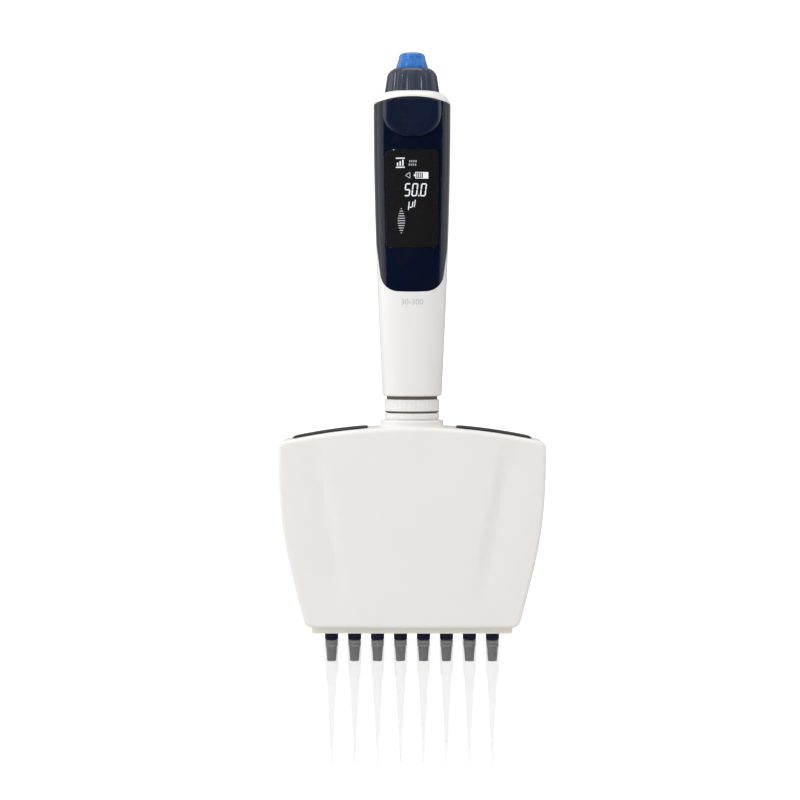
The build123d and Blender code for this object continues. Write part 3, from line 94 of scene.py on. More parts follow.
def noise(tree, vector, scale, detail=2.0, roughness=0.5):
    """A noise texture on the given vector, its scale a number or a socket."""
    node = tree.nodes.new("ShaderNodeTexNoise")
    tree.links.new(vector, node.inputs["Vector"])
    if isinstance(scale, (int, float)):
        node.inputs["Scale"].default_value = scale
    else:
        tree.links.new(scale, node.inputs["Scale"])
    node.inputs["Detail"].default_value = detail
    node.inputs["Roughness"].default_value = roughness
    return node.outputs["Fac"]


def arithmetic(tree, operation, first, second):
    """A math node over two sockets or numbers."""
    node = tree.nodes.new("ShaderNodeMath")
    node.operation = operation
    for index, value in enumerate((first, second)):
        if isinstance(value, (int, float)):
            node.inputs[index].default_value = value
        else:
            tree.links.new(value, node.inputs[index])
    return node.outputs[0]


def remap(tree, value, low, high, new_low, new_high):
    """A smooth step from one range to another."""
    node = tree.nodes.new("ShaderNodeMapRange")
    node.interpolation_type = "SMOOTHSTEP"
    tree.links.new(value, node.inputs["Value"])
    ends = {"From Min": low, "From Max": high, "To Min": new_low, "To Max": new_high}
    for label, number in ends.items():
        if isinstance(number, (int, float)):
            node.inputs[label].default_value = number
        else:
            tree.links.new(number, node.inputs[label])
    return node.outputs["Result"]


# %% The grain of a mould's wall
def make_grain_group():
    """Fine pebbled height, and a slow variation in tone."""
    group, inside, outside = start_group("moulding_grain", {"Scale": 3200.0}, ("Height", "Tone"))
    vector = inside.outputs["Vector"]
    scale = inside.outputs["Scale"]
    cells = group.nodes.new("ShaderNodeTexVoronoi")
    cells.feature = "SMOOTH_F1"
    group.links.new(vector, cells.inputs["Vector"])
    group.links.new(scale, cells.inputs["Scale"])
    fine_scale, cell_share = 0.55, 0.55
    fine = noise(group, vector, arithmetic(group, "MULTIPLY", scale, fine_scale), 3.0, 0.6)
    pebbles = arithmetic(group, "MULTIPLY", cells.outputs["Distance"], cell_share)
    height = arithmetic(group, "ADD", pebbles, fine)
    group.links.new(height, outside.inputs["Height"])
    group.links.new(noise(group, vector, 38.0, 4.0, 0.55), outside.inputs["Tone"])
    return group


# %% The marks of handling on a polished part
def make_handling_group():
    """A roughness that rises where hands have been, with faint hairline scuffs."""
    group, inside, outside = start_group(
        "handling_marks", {"Clean": 0.08, "Touched": 0.2, "Scuffs": 0.3}, ("Roughness", "Height")
    )
    vector = inside.outputs["Vector"]
    patches = remap(group, noise(group, vector, 90.0, 5.0, 0.62), 0.46, 0.68, 0.0, 1.0)
    stretch = group.nodes.new("ShaderNodeMapping")
    stretch.inputs["Rotation"].default_value = (0.5, 0.9, 0.3)
    stretch.inputs["Scale"].default_value = (1.0, 14.0, 14.0)
    group.links.new(vector, stretch.inputs["Vector"])
    streaks = noise(group, stretch.outputs["Vector"], 120.0, 3.0, 0.7)
    hairs = remap(group, streaks, 0.66, 0.74, 0.0, 1.0)
    scuffs = arithmetic(group, "MULTIPLY", hairs, inside.outputs["Scuffs"])
    mask = arithmetic(group, "MAXIMUM", patches, scuffs)
    result = remap(group, mask, 0.0, 1.0, inside.outputs["Clean"], inside.outputs["Touched"])
    group.links.new(result, outside.inputs["Roughness"])
    group.links.new(scuffs, outside.inputs["Height"])
    return group


# %% The tool marks of a turned part
def make_turning_group():
    """Fine rings round the upright axis, as a lathe leaves them."""
    group, inside, outside = start_group(
        "turning_marks", {"Pitch": 9000.0}, ("Height", "Roughness")
    )
    vector = inside.outputs["Vector"]
    rings = group.nodes.new("ShaderNodeTexWave")
    rings.bands_direction = "Z"
    rings.inputs["Distortion"].default_value = 1.2
    rings.inputs["Detail"].default_value = 2.0
    group.links.new(vector, rings.inputs["Vector"])
    group.links.new(inside.outputs["Pitch"], rings.inputs["Scale"])
    group.links.new(rings.outputs["Fac"], outside.inputs["Height"])
    sheen = remap(group, rings.outputs["Fac"], 0.0, 1.0, 0.2, 0.34)
    group.links.new(sheen, outside.inputs["Roughness"])
    return group


grain_group = make_grain_group()
handling_group = make_handling_group()
turning_group = make_turning_group()
print("three shared effects are ready")

# %% [markdown]
# ## Materials
# Each finish of the real object is one material. The plastics read Object coordinates, which are
# metres in the frame, so that a grain has the same size on every part. Numbers that are the same
# all over a surface are set on the shader's own sockets.


# %% Helpers for materials
def start_material(name, **shader_values):
    """A material with its Principled shader set, and Object coordinates at hand."""
    material = bpy.data.materials.new(name)
    material.use_nodes = True
    tree = material.node_tree
    shader = tree.nodes["Principled BSDF"]
    for label, value in shader_values.items():
        shader.inputs[label.replace("_", " ")].default_value = value
    place = tree.nodes.new("ShaderNodeTexCoord").outputs["Object"]
    return material, tree, shader, place


def use_group(tree, group, place, **values):
    """A node group placed in a material with its own values."""
    node = tree.nodes.new("ShaderNodeGroup")
    node.node_tree = group
    tree.links.new(place, node.inputs["Vector"])
    for label, value in values.items():
        node.inputs[label].default_value = value
    return node


def raise_surface(tree, shader, height, distance, strength=1.0):
    """Feeds a height to the shader's normal through a Bump node, distance in metres."""
    bump = tree.nodes.new("ShaderNodeBump")
    bump.inputs["Distance"].default_value = distance
    bump.inputs["Strength"].default_value = strength
    tree.links.new(height, bump.inputs["Height"])
    tree.links.new(bump.outputs["Normal"], shader.inputs["Normal"])


def two_tones(tree, shader, mask, first, second):
    """The base colour drifts between two close tones."""
    ramp = tree.nodes.new("ShaderNodeMix")
    ramp.data_type = "RGBA"
    tree.links.new(mask, ramp.inputs["Factor"])
    ramp.inputs["A"].default_value = (*first, 1.0)
    ramp.inputs["B"].default_value = (*second, 1.0)
    tree.links.new(ramp.outputs["Result"], shader.inputs["Base Color"])


def moulded_plastic(name, first, second, rough_low, rough_high, grain_depth, grain_scale=3200.0):
    """A satin moulding: grain, two close tones, and a gloss that drifts a little."""
    material, tree, shader, place = start_material(name)
    grain = use_group(tree, grain_group, place, Scale=grain_scale)
    two_tones(tree, shader, grain.outputs["Tone"], first, second)
    gloss = remap(tree, grain.outputs["Tone"], 0.3, 0.7, rough_low, rough_high)
    tree.links.new(gloss, shader.inputs["Roughness"])
    raise_surface(tree, shader, grain.outputs["Height"], grain_depth)
    return material


def polished_plastic(name, first, second, clean, touched, **values):
    """A high-gloss moulding with the marks of handling."""
    material, tree, shader, place = start_material(name, **values)
    marks = use_group(tree, handling_group, place, Clean=clean, Touched=touched)
    grain = use_group(tree, grain_group, place)
    two_tones(tree, shader, grain.outputs["Tone"], first, second)
    tree.links.new(marks.outputs["Roughness"], shader.inputs["Roughness"])
    scratch_depth, scratch_strength = 0.000004, 0.4
    raise_surface(tree, shader, marks.outputs["Height"], scratch_depth, scratch_strength)
    return material


def turned_metal(name, first, second, pitch=9000.0):
    """A lathe-turned metal with fine rings."""
    material, tree, shader, place = start_material(name, Metallic=1.0)
    rings = use_group(tree, turning_group, place, Pitch=pitch)
    two_tones(tree, shader, rings.outputs["Height"], first, second)
    tree.links.new(rings.outputs["Roughness"], shader.inputs["Roughness"])
    ring_depth = 0.000006
    raise_surface(tree, shader, rings.outputs["Height"], ring_depth)
    return material


# %% [markdown]
# The two whites are the same family of plastic: the handle a touch cooler than the manifold. The
# navy parts are polished, so the room shows in them, and the blue button is the brightest colour.
# The thumb button's navy is a lighter copy of the cover's navy: painted light, for the light that
# falls on its upturned dish. The wheel's navy is lighter again, a painted highlight for the gleam
# on its flutes. The blue button's own blue is raised in part as a painted highlight.

# %% The opaque plastics
finishes = {
    "handle_white": moulded_plastic(
        "handle_white", (0.85, 0.84, 0.825), (0.81, 0.80, 0.785), 0.30, 0.40, 0.000006
    ),
    "manifold_white": moulded_plastic(
        "manifold_white", (0.855, 0.835, 0.812), (0.82, 0.80, 0.778), 0.32, 0.42, 0.000006
    ),
    "navy_gloss": polished_plastic(
        "navy_gloss", (0.0024, 0.0056, 0.021), (0.0018, 0.0044, 0.017), 0.10, 0.22, Coat_Weight=0.3
    ),
    # painted light: lighter than navy_gloss, standing in for the light that falls on the thumb's
    # dish
    "thumb_navy_painted_light": polished_plastic(
        "thumb_navy_painted_light", (0.0062, 0.0135, 0.038), (0.0050, 0.0110, 0.032), 0.16, 0.3, Coat_Weight=0.3
    ),
    # painted highlight: a lighter navy than the cover's, standing in for the gleam along the flutes
    "wheel_navy": polished_plastic(
        "wheel_navy", (0.046, 0.056, 0.090), (0.040, 0.050, 0.082), 0.14, 0.26, Coat_Weight=0.3
    ),
    # the button's own blue, raised in part as a painted highlight
    "button_blue": polished_plastic(
        "button_blue", (0.036, 0.20, 0.60), (0.030, 0.175, 0.55), 0.10, 0.2, Coat_Weight=1.0
    ),
    "shoulder_rubber": moulded_plastic(
        "shoulder_rubber", (0.018, 0.018, 0.021), (0.026, 0.026, 0.029), 0.48, 0.66, 0.00003, 1600.0
    ),
    "dark_seal": moulded_plastic(
        "dark_seal", (0.16, 0.13, 0.115), (0.13, 0.105, 0.092), 0.5, 0.65, 0.00001, 2400.0
    ),
    "ejector_cream": moulded_plastic(
        "ejector_cream", (0.84, 0.815, 0.74), (0.79, 0.765, 0.69), 0.34, 0.46, 0.000008
    ),
    "nozzle_polymer": moulded_plastic(
        "nozzle_polymer", (0.009, 0.009, 0.034), (0.012, 0.012, 0.040), 0.26, 0.4, 0.000005
    ),
    "internal_grey": moulded_plastic(
        "internal_grey", (0.30, 0.31, 0.33), (0.26, 0.27, 0.29), 0.4, 0.5, 0.000008
    ),
    "magnet": moulded_plastic(
        "magnet", (0.03, 0.03, 0.032), (0.045, 0.044, 0.043), 0.5, 0.65, 0.00001
    ),
    "board_green": moulded_plastic(
        "board_green", (0.015, 0.11, 0.045), (0.012, 0.09, 0.038), 0.3, 0.4, 0.000006
    ),
    "battery_wrap": polished_plastic(
        "battery_wrap", (0.05, 0.06, 0.09), (0.04, 0.05, 0.075), 0.2, 0.35
    ),
    "display_panel": polished_plastic(
        "display_panel", (0.01, 0.01, 0.012), (0.008, 0.008, 0.01), 0.1, 0.2
    ),
    "steel": turned_metal("steel", (0.62, 0.62, 0.63), (0.5, 0.5, 0.52)),
    "spring_steel": turned_metal("spring_steel", (0.5, 0.5, 0.52), (0.4, 0.4, 0.42), 14000.0),
    "motor_can": turned_metal("motor_can", (0.42, 0.43, 0.45), (0.36, 0.37, 0.39)),
    "brass": turned_metal("brass", (0.83, 0.62, 0.27), (0.72, 0.52, 0.2), 12000.0),
}


# %% [markdown]
# The display glass is smoked and backed with black print, so it is nearly black and very smooth.


# %% The display glass
def make_display_glass():
    """Black glass with faint smears."""
    material, tree, shader, place = start_material(
        "display_glass", Coat_Weight=1.0, Coat_Roughness=0.03
    )
    marks = use_group(tree, handling_group, place, Clean=0.06, Touched=0.16, Scuffs=0.15)
    tree.links.new(marks.outputs["Roughness"], shader.inputs["Roughness"])
    backing, smear = (0.0105, 0.010, 0.0105), (0.0135, 0.0125, 0.0135)
    two_tones(tree, shader, marks.outputs["Height"], backing, smear)
    return material


finishes["display_glass"] = make_display_glass()


# %% [markdown]
# The tips are natural polypropylene: milky, but thin enough to show the dark nozzle inside. Light
# crosses more plastic where a wall is seen edge on, so the wall is given more cover there.


# %% The tips
def make_tip_plastic():
    """Milky clear plastic, denser where the wall is seen at a slant."""
    material, tree, shader, place = start_material("tip_polypropylene", IOR=1.49)
    grain = use_group(tree, grain_group, place, Scale=2600.0)
    two_tones(tree, shader, grain.outputs["Tone"], (0.60, 0.60, 0.595), (0.56, 0.56, 0.555))
    gloss = remap(tree, grain.outputs["Tone"], 0.3, 0.7, 0.22, 0.34)
    tree.links.new(gloss, shader.inputs["Roughness"])
    grain_depth = 0.000004
    raise_surface(tree, shader, grain.outputs["Height"], grain_depth)
    slant = tree.nodes.new("ShaderNodeLayerWeight")
    slant.inputs["Blend"].default_value = 0.35
    face_on_cover, edge_on_cover = 0.16, 0.26
    cover = remap(tree, slant.outputs["Facing"], 0.2, 1.0, face_on_cover, edge_on_cover)
    tree.links.new(cover, shader.inputs["Alpha"])
    return material


finishes["tip_polypropylene"] = make_tip_plastic()


# %% Give each part of the frame its finish
for name, node in nodes.items():
    node.data.materials.clear()
    node.data.materials.append(finishes[slot_of[name]])
# the thumb button takes the navy with painted light
nodes["ejector_button"].data.materials[0] = finishes["thumb_navy_painted_light"]
print("finishes in use:", len(set(slot_of.values())) + 1)

# %% [markdown]
# ## Soft edges
# A moulding has no knife edges: the mould gives each a small radius, which catches the light. The
# parts of the frame come as loose triangles with sharp edges, so three modifiers finish them: one
# joins the triangles, one rounds each real edge, and one evens the shading on the flats.


# %% Round the edges of what shows
def round_edges(node, width, angle=35):
    """Joins a part's triangles and rounds its real edges by width, in metres."""
    for polygon in node.data.polygons:
        polygon.use_smooth = True
    joined = node.modifiers.new("join", "WELD")
    joined.merge_threshold = 1e-6
    rounded = node.modifiers.new("round", "BEVEL")
    rounded.width = width
    rounded.segments = 2
    rounded.limit_method = "ANGLE"
    rounded.angle_limit = radians(angle)
    rounded.harden_normals = False
    rounded.use_clamp_overlap = True
    even = node.modifiers.new("even", "WEIGHTED_NORMAL")
    even.keep_sharp = True


edge_widths = {
    "grip_front_shell": 0.12, "grip_rear_shell": 0.12, "front_cover": 0.12, "battery_hatch": 0.12,
    "top_collar": 0.15, "display_window": 0.1, "ejector_button": 0.12, "setting_wheel": 0.2,
    "operate_button": 0.2, "finger_hook": 0.15, "coupling_nut": 0.12, "manifold_hub": 0.15,
    "swivel_washer": 0.1, "neck_washer": 0.15, "ejector_bar": 0.2, "nozzles": 0.1,
    "shoulder_pad_left": 0.15, "shoulder_pad_right": 0.15,
}
for name, width in edge_widths.items():
    round_edges(nodes[name], width * MM)
tip_edge_width = 0.06
for name in tip_names:
    round_edges(nodes[name], tip_edge_width * MM)
print("rounded", len(edge_widths) + len(tip_names), "parts")

# %% [markdown]
# ## What the display shows
# The display is a small black panel under smoked glass, and its white segments light up. Each
# segment is a thin sheet that lies a hair in front of the glass. A ray is sent back from the
# camera's side to find the glass, so that a sheet follows the curve of the handle.


# %% Lay flat shapes on a curved part
def surface_of(name):
    """A search tree of a node's faces."""
    mesh = nodes[name].data
    corners = [vertex.co.copy() for vertex in mesh.vertices]
    return BVHTree.FromPolygons(corners, [tuple(face.vertices) for face in mesh.polygons])


def lay_on(tree, x, z, lift):
    """The point of a part's front at (x, z), lifted towards the viewer."""
    far_front = -0.1
    hit = tree.ray_cast(Vector((x, far_front, z)), Vector((0, 1, 0)))[0]
    return Vector((x, hit.y - lift, z))


def cut(bm, place, direction):
    """Cuts every face along a plane, and keeps both halves."""
    bmesh.ops.bisect_plane(
        bm, geom=bm.verts[:] + bm.edges[:] + bm.faces[:], dist=1e-7,
        plane_co=place, plane_no=direction,
    )


def flat_piece(name, shapes, tree, lift, material, body):
    """A mesh of flat shapes, each a list of (x, z) corners, laid on a part's front."""
    mesh = bpy.data.meshes.new(name)
    bm = bmesh.new()
    for shape in shapes:
        bm.faces.new([bm.verts.new((x, 0, z)) for x, z in shape])
    step, steps_each_side = 0.6 * MM, 20
    for index in range(-steps_each_side, steps_each_side + 1):
        cut(bm, (index * step, 0, 0), (1, 0, 0))
    for vertex in bm.verts:
        vertex.co = lay_on(tree, vertex.co.x, vertex.co.z, lift)
    bm.normal_update()
    for face in bm.faces:
        if face.normal.y > 0:
            face.normal_flip()
    bm.to_mesh(mesh)
    bm.free()
    mesh.materials.append(material)
    piece = bpy.data.objects.new(name, mesh)
    bpy.context.scene.collection.objects.link(piece)
    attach(piece, body)
    print(name, "has", len(mesh.polygons), "shapes")
    return piece


# %% [markdown]
# A digit is built from seven bars that lean a little to the right. The bars are numbered from the
# top one clockwise, with the middle one last, and each digit lists the bars that are lit.

# %% Segment digits
LIT_BARS = {"0": (0, 1, 2, 3, 4, 5), "5": (0, 5, 6, 2, 3)}


def bar(start, end, half_width):
    """A bar with pointed ends between two points, as a list of corners."""
    start, end = Vector(start), Vector(end)
    along = (end - start).normalized()
    across = Vector((-along.y, along.x)) * half_width
    inner_start, inner_end = start + along * half_width, end - along * half_width
    upper = (inner_start + across, inner_end + across)
    lower = (inner_end - across, inner_start - across)
    return [tuple(corner) for corner in (start, *upper, end, *lower)]


def digit(text, left, foot, width, height, stroke, lean):
    """The lit bars of one digit."""
    middle, top = height / 2, height
    ends = (
        ((0, top), (width, top)), ((width, top), (width, middle)), ((width, middle), (width, 0)),
        ((0, 0), (width, 0)), ((0, 0), (0, middle)), ((0, middle), (0, top)),
        ((0, middle), (width, middle)),
    )
    shapes = []
    for index in LIT_BARS[text]:
        corners = bar(*ends[index], stroke / 2)
        shapes.append([(left + x + lean * z, foot + z) for x, z in corners])
    return shapes


def block(left, foot, width, height):
    """A rectangle as a list of corners."""
    right, top = left + width, foot + height
    return [(left, foot), (right, foot), (right, top), (left, top)]


# %% [markdown]
# The figures stand on a grid of the display's own size, with squares of a millimetre: the volume in
# the middle, a speaker and a battery above it, a mode sign at the upper left, the unit below it and
# a bar graph at the left.

# %% Draw the display
squares_high = 37.5
unit = (high_glass.z - low_glass.z) / squares_high
figures_foot = low_glass.z + 19.7 * unit
figure_height = 4.5 * unit
figure_width = 1.75 * unit
figure_stroke = 0.48 * unit
lean = 0.12
shapes = []
for text, left in (("5", -2.9), ("0", -0.1), ("0", 3.2)):
    shapes += digit(
        text, left * unit, figures_foot, figure_width, figure_height, figure_stroke, lean
    )
point_left, point_size = 2.3 * unit, 0.5 * unit
shapes.append(block(point_left, figures_foot - point_size / 2, point_size, point_size))

signs_foot = figures_foot + 6.5 * unit
battery_left = 0.7 * unit
battery_height = 2.5 * unit
case_left, case_width = battery_left + 0.5 * unit, 5.0 * unit
rim = 0.28 * unit
shapes.append(block(battery_left, signs_foot + battery_height / 3, 0.5 * unit, battery_height / 3))
shapes.append(block(case_left, signs_foot, case_width, rim))
shapes.append(block(case_left, signs_foot + battery_height - rim, case_width, rim))
shapes.append(block(case_left, signs_foot, rim, battery_height))
for index in range(3):
    left = battery_left + (1.1 + 0.75 * index) * unit
    shapes.append(block(left, signs_foot + 0.5 * unit, 0.36 * unit, battery_height - 1.0 * unit))
shapes.append(block(battery_left + 3.4 * unit, signs_foot, 2.1 * unit, battery_height))

cone_back, cone_front = -2.5 * unit, -0.8 * unit
cone_half = 1.15 * unit
speaker_middle = signs_foot + battery_height / 2
cone_tip = (cone_back, speaker_middle)
cone_top = (cone_front, speaker_middle + cone_half)
cone_foot = (cone_front, speaker_middle - cone_half)
dim_shapes = []
for start, end in ((cone_tip, cone_top), (cone_tip, cone_foot), (cone_foot, cone_top)):
    dim_shapes.append(bar(start, end, 0.15 * unit))

mode_foot = signs_foot + 4.1 * unit
mode_left, mode_width, mode_height = -6.2 * unit, 3.4 * unit, 3.9 * unit
mode_stroke = 0.45 * unit
shapes.append(block(mode_left, mode_foot + mode_height - mode_stroke, mode_width, mode_stroke))
shapes.append(block(mode_left, mode_foot, mode_width, mode_stroke))
for index in range(3):
    left = mode_left + (0.4 + 1.0 * index) * unit
    shapes.append(block(left, mode_foot + 0.8 * unit, 0.55 * unit, (1.2 + 0.55 * index) * unit))
for row in range(2):
    for index in range(4):
        left = (-1.3 + 0.8 * index + 0.2 * row) * unit
        foot = mode_foot + (0.8 + 1.3 * row) * unit
        dim_shapes.append(block(left, foot, 0.42 * unit, 0.75 * unit))

letters_foot = figures_foot - 4.4 * unit
letter_width, letter_height, letter_stroke = 1.3 * unit, 2.2 * unit, 0.36 * unit
letters_left = -1.3 * unit
letters_right = letters_left + letter_width
for x, drop in ((letters_left, 1.1 * unit), (letters_right, 0)):
    start = x - lean * drop
    top = (start + 3 * lean * unit, letters_foot + letter_height)
    shapes.append(bar((start, letters_foot - drop), top, letter_stroke / 2))
shapes.append(bar((letters_left, letters_foot), (letters_right, letters_foot), letter_stroke / 2))
ell_left = letters_left + 2.1 * unit
ell_top = (ell_left + 4 * lean * unit, letters_foot + 2.9 * unit)
shapes.append(bar((ell_left, letters_foot), ell_top, letter_stroke / 2))

graph_middle = -4.1 * unit
graph_foot = low_glass.z + 5.4 * unit
bar_count = 11
for index in range(bar_count):
    half = 1.45 * unit * sin(pi * (index + 0.6) / (bar_count + 0.2))
    foot = graph_foot + 0.92 * index * unit
    dim_shapes.append(block(graph_middle - half, foot, 2 * half, 0.36 * unit))
print("the display shows", len(shapes) + len(dim_shapes), "lit shapes")


# %% [markdown]
# The segments give off their own light. The figures are bright, and the graph and the small signs
# are a dimmer grey.


# %% Light the display
def segment_light(name, strength):
    """Lit segments: a cool white that flickers a little from grain to grain."""
    material, tree, shader, place = start_material(name, Roughness=0.3)
    shader.inputs["Base Color"].default_value = (0.3, 0.31, 0.32, 1)
    shader.inputs["Emission Strength"].default_value = strength
    glow = tree.nodes.new("ShaderNodeMix")
    glow.data_type = "RGBA"
    tree.links.new(noise(tree, place, 1400.0, 1.0), glow.inputs["Factor"])
    glow.inputs["A"].default_value = (0.78, 0.82, 0.86, 1)
    glow.inputs["B"].default_value = (0.95, 0.97, 1.0, 1)
    tree.links.new(glow.outputs["Result"], shader.inputs["Emission Color"])
    return material


segment_white = segment_light("display_light", 0.7)
segment_grey = segment_light("display_light_dim", 0.2)
glass_tree = surface_of("display_window")
lift = 0.03 * MM
flat_piece(
    "display_figures", shapes, glass_tree, lift, segment_white, "handle"
)
flat_piece(
    "display_graph", dim_shapes, glass_tree, lift, segment_grey, "handle"
)

# %% [markdown]
# Below the cover the handle carries its volume range, pad-printed in a faint grey. The print is
# text turned into a mesh, and then each of its points is laid on the handle.


# %% Print the range on the handle
def printed_text(name, text, size, middle_x, foot_z, tree, material, body):
    """Text as a flat mesh that follows a part's front."""
    curve = bpy.data.curves.new(name, "FONT")
    curve.body = text
    curve.size = size
    curve.align_x = "CENTER"
    curve.resolution_u = 3
    letters = bpy.data.objects.new(name + "_outline", curve)
    bpy.context.scene.collection.objects.link(letters)
    bpy.context.view_layer.update()
    finished = letters.evaluated_get(bpy.context.evaluated_depsgraph_get())
    mesh = bpy.data.meshes.new_from_object(finished)
    bpy.data.objects.remove(letters)
    mesh.name = name
    bm = bmesh.new()
    bm.from_mesh(mesh)
    bmesh.ops.remove_doubles(bm, verts=bm.verts, dist=1e-7)
    for vertex in bm.verts:
        vertex.co = lay_on(tree, middle_x + vertex.co.x, foot_z + vertex.co.y, lift)
    bm.normal_update()
    for face in bm.faces:
        if face.normal.y > 0:
            face.normal_flip()
    bm.to_mesh(mesh)
    bm.free()
    mesh.materials.clear()
    mesh.materials.append(material)
    piece = bpy.data.objects.new(name, mesh)
    bpy.context.scene.collection.objects.link(piece)
    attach(piece, body)
    print(name, "has", len(mesh.polygons), "faces")


print_grey = moulded_plastic(
    "print_grey", (0.50, 0.51, 0.52), (0.60, 0.61, 0.62), 0.4, 0.5, 0.000003
)
range_foot = low_cover.z - 5.0 * MM
printed_text(
    "range_print", "30-300", 3.1 * MM, 0.0, range_foot, surface_of("grip_front_shell"), print_grey,
    "handle",
)

# %% [markdown]
# ## The manifold's housing
# On the real housing a broad centre panel runs down the front, wide at the top and narrower below.
# Its edge is crisp, and outside it the surface dips and slowly rises again towards the sides. The
# frame's shells have the plain outline. Each is copied, cut into a fine grid so that it has points
# to move, and its face is pressed in by less than a millimetre along the panel's edge.


# %% Press the centre panel into a copy of each shell
def panel_dip(x, z, reach):
    """How deep the face lies below the plain form at (x, z), in metres."""
    share = (z - low_shell.z) / (high_shell.z - low_shell.z)
    panel_half_width = (0.41 + 0.27 * share) * reach
    outside = abs(x) - panel_half_width
    if outside <= 0:
        return 0.0
    fall, rise, depth = 4.5 * MM, 15 * MM, 1.0 * MM
    dip = sin(pi / 2 * min(1, outside / fall)) * max(0, 1 - max(0, outside - fall) / rise) ** 2
    fade = min(1, max(0, (share - 0.12) / 0.18)) * min(1, max(0, (0.93 - share) / 0.12))
    return depth * dip * fade


def creased_shell(name):
    """A shell's copy with the panel pressed into its outer face."""
    bm = bmesh.new()
    bm.from_mesh(nodes[name].data)
    bmesh.ops.remove_doubles(bm, verts=bm.verts, dist=1e-6)
    reach = high_shell.x
    step = 2.0 * MM
    columns = int(reach / step)
    rows = int((high_shell.z - low_shell.z) / step)
    for index in range(-columns, columns + 1):
        cut(bm, (index * step, 0, 0), (1, 0, 0))
    for index in range(1, rows + 1):
        cut(bm, (0, 0, low_shell.z + index * step), (0, 0, 1))
    bm.normal_update()
    side = -1 if name == "manifold_front_shell" else 1
    for vertex in bm.verts:
        facing = vertex.normal.y * side
        if facing > 0.9 and vertex.co.y * side > 8 * MM:
            vertex.co.y -= side * panel_dip(vertex.co.x, vertex.co.z, reach)
    mesh = bpy.data.meshes.new(name + "_creased")
    bm.to_mesh(mesh)
    bm.free()
    mesh.materials.append(finishes["manifold_white"])
    piece = bpy.data.objects.new(name + "_creased", mesh)
    bpy.context.scene.collection.objects.link(piece)
    round_edges(piece, 0.12 * MM)
    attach(piece, "manifold")
    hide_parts(name)
    print(piece.name, "has", len(mesh.polygons), "faces")


for name in ("manifold_front_shell", "manifold_rear_shell"):
    creased_shell(name)

# %% [markdown]
# ## The room
# The object hangs upright before a white sweep that curves up from a pale floor. Broad light comes
# from all round, a little more from the left and from above. Tall lamps stand at both sides, just
# behind the object, so that the polished parts stay dark in front and gleam along their edges.


# %% Floor, lamps and camera
def add_lamp(name, place, aim, size, watts):
    """A large rectangular lamp that looks at a point."""
    light = bpy.data.lights.new(name, "AREA")
    light.shape = "RECTANGLE"
    light.size, light.size_y = size
    light.energy = watts
    lamp = bpy.data.objects.new(name, light)
    lamp.location = place
    lamp.rotation_euler = (Vector(aim) - Vector(place)).to_track_quat("-Z", "Y").to_euler()
    lamp.visible_camera = False
    bpy.context.scene.collection.objects.link(lamp)
    return lamp


floor_drop = 0.09
sweep_back, sweep_radius, sweep_half_width = 2.6, 1.2, 5.0
bm = bmesh.new()
profile = [(-4.0, 0.0), (sweep_back - sweep_radius, 0.0)]
for index in range(1, 13):
    angle = pi / 2 * index / 12
    profile.append(
        (sweep_back - sweep_radius + sweep_radius * sin(angle), sweep_radius * (1 - cos(angle)))
    )
profile.append((sweep_back, 5.0))
rows = []
for y, z in profile:
    rows.append([bm.verts.new((side * sweep_half_width, y, z - floor_drop)) for side in (-1, 1)])
for lower, upper in zip(rows, rows[1:]):
    bm.faces.new((lower[0], lower[1], upper[1], upper[0]))
sweep_mesh = bpy.data.meshes.new("sweep")
for face in bm.faces:
    face.smooth = True
bm.to_mesh(sweep_mesh)
bm.free()
sweep = bpy.data.objects.new("sweep", sweep_mesh)
bpy.context.scene.collection.objects.link(sweep)
sweep_material, sweep_tree, sweep_shader, _ = start_material("sweep_white", Roughness=0.9)
sweep_shader.inputs["Base Color"].default_value = (0.7, 0.7, 0.7, 1)
sweep_shader.inputs["Emission Color"].default_value = (1, 1, 1, 1)
sweep_rays = sweep_tree.nodes.new("ShaderNodeLightPath")
sweep_glow = arithmetic(sweep_tree, "MULTIPLY", sweep_rays.outputs["Is Camera Ray"], 0.55)
sweep_tree.links.new(sweep_glow, sweep_shader.inputs["Emission Strength"])
sweep.data.materials.append(sweep_material)
sweep.visible_glossy = False

# %% [markdown]
# The room itself is three tones in one: white to the camera, a soft gradient for the light that
# falls on the object, and a dark front for reflections, as a photographer's black screen gives.

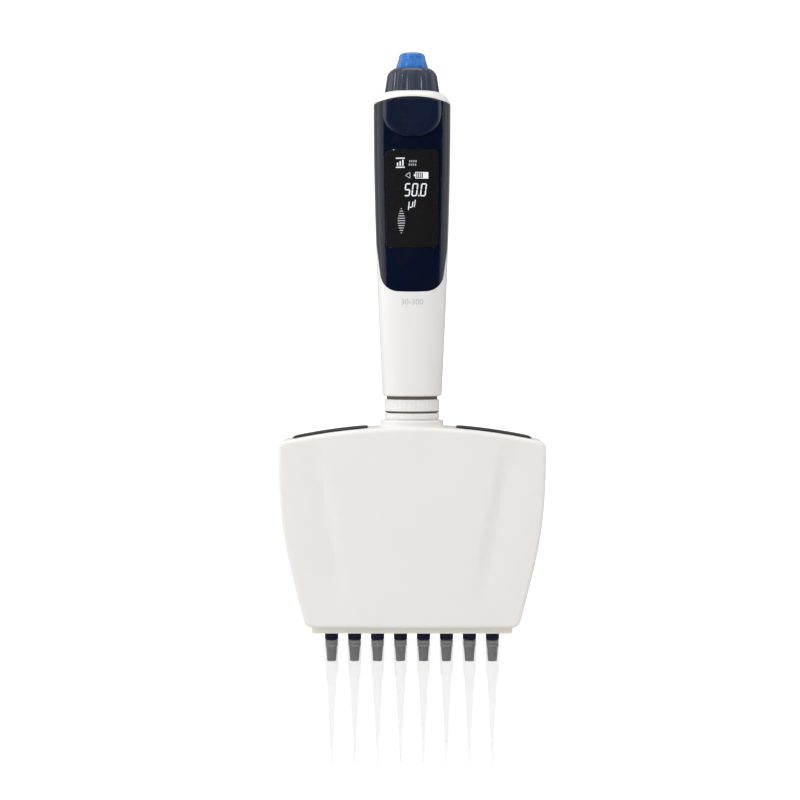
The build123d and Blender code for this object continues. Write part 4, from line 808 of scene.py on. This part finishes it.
# %% The room's light
world = bpy.data.worlds.new("room")
world.use_nodes = True
room = world.node_tree
background = room.nodes["Background"]
direction = room.nodes.new("ShaderNodeTexCoord").outputs["Generated"]
split = room.nodes.new("ShaderNodeSeparateXYZ")
room.links.new(direction, split.inputs["Vector"])
rays = room.nodes.new("ShaderNodeLightPath")
sideways = arithmetic(room, "MULTIPLY", split.outputs["X"], -0.40)
upwards = arithmetic(room, "MULTIPLY", split.outputs["Z"], 0.22)
slope = arithmetic(room, "ADD", sideways, upwards)
soft = arithmetic(room, "ADD", slope, 1.0)
behind = remap(room, split.outputs["Y"], -0.2, 0.9, 0.02, 0.32)
above = remap(room, split.outputs["Z"], 0.15, 0.7, 0.0, 0.3)
mirrored = arithmetic(room, "MAXIMUM", behind, above)
glossy = rays.outputs["Is Glossy Ray"]
not_glossy = arithmetic(room, "SUBTRACT", 1.0, glossy)
in_mirrors = arithmetic(room, "MULTIPLY", glossy, mirrored)
elsewhere = arithmetic(room, "MULTIPLY", not_glossy, soft)
lit = arithmetic(room, "ADD", in_mirrors, elsewhere)
strength = arithmetic(room, "MAXIMUM", lit, rays.outputs["Is Camera Ray"])
background.inputs["Color"].default_value = (1, 1, 1, 1)
room.links.new(strength, background.inputs["Strength"])
bpy.context.scene.world = world

middle = (0, 0, 0.16)
add_lamp("left", (-1.1, 0.3, 0.4), middle, (0.9, 1.0), 1.5)
add_lamp("right", (1.1, 0.4, 0.4), middle, (0.7, 1.0), 0.8)
add_lamp("top", (0.0, 0.1, 1.3), middle, (0.9, 0.4), 2.0)
add_lamp("key", (-1.0, -1.2, 0.9), middle, (0.28, 0.28), 2.0)

camera_distance = 0.743
eye_height = 0.1656
aim = Vector((-0.0047, 0, 0.1423))
camera_data = bpy.data.cameras.new("camera")
camera_data.sensor_width = 36.0
camera_data.lens = 85.7
camera = bpy.data.objects.new("camera", camera_data)
camera.location = (0, -camera_distance, eye_height)
camera.rotation_euler = (aim - camera.location).to_track_quat("-Z", "Y").to_euler()
bpy.context.scene.collection.objects.link(camera)
bpy.context.scene.camera = camera
bpy.context.scene.view_settings.view_transform = "Standard"
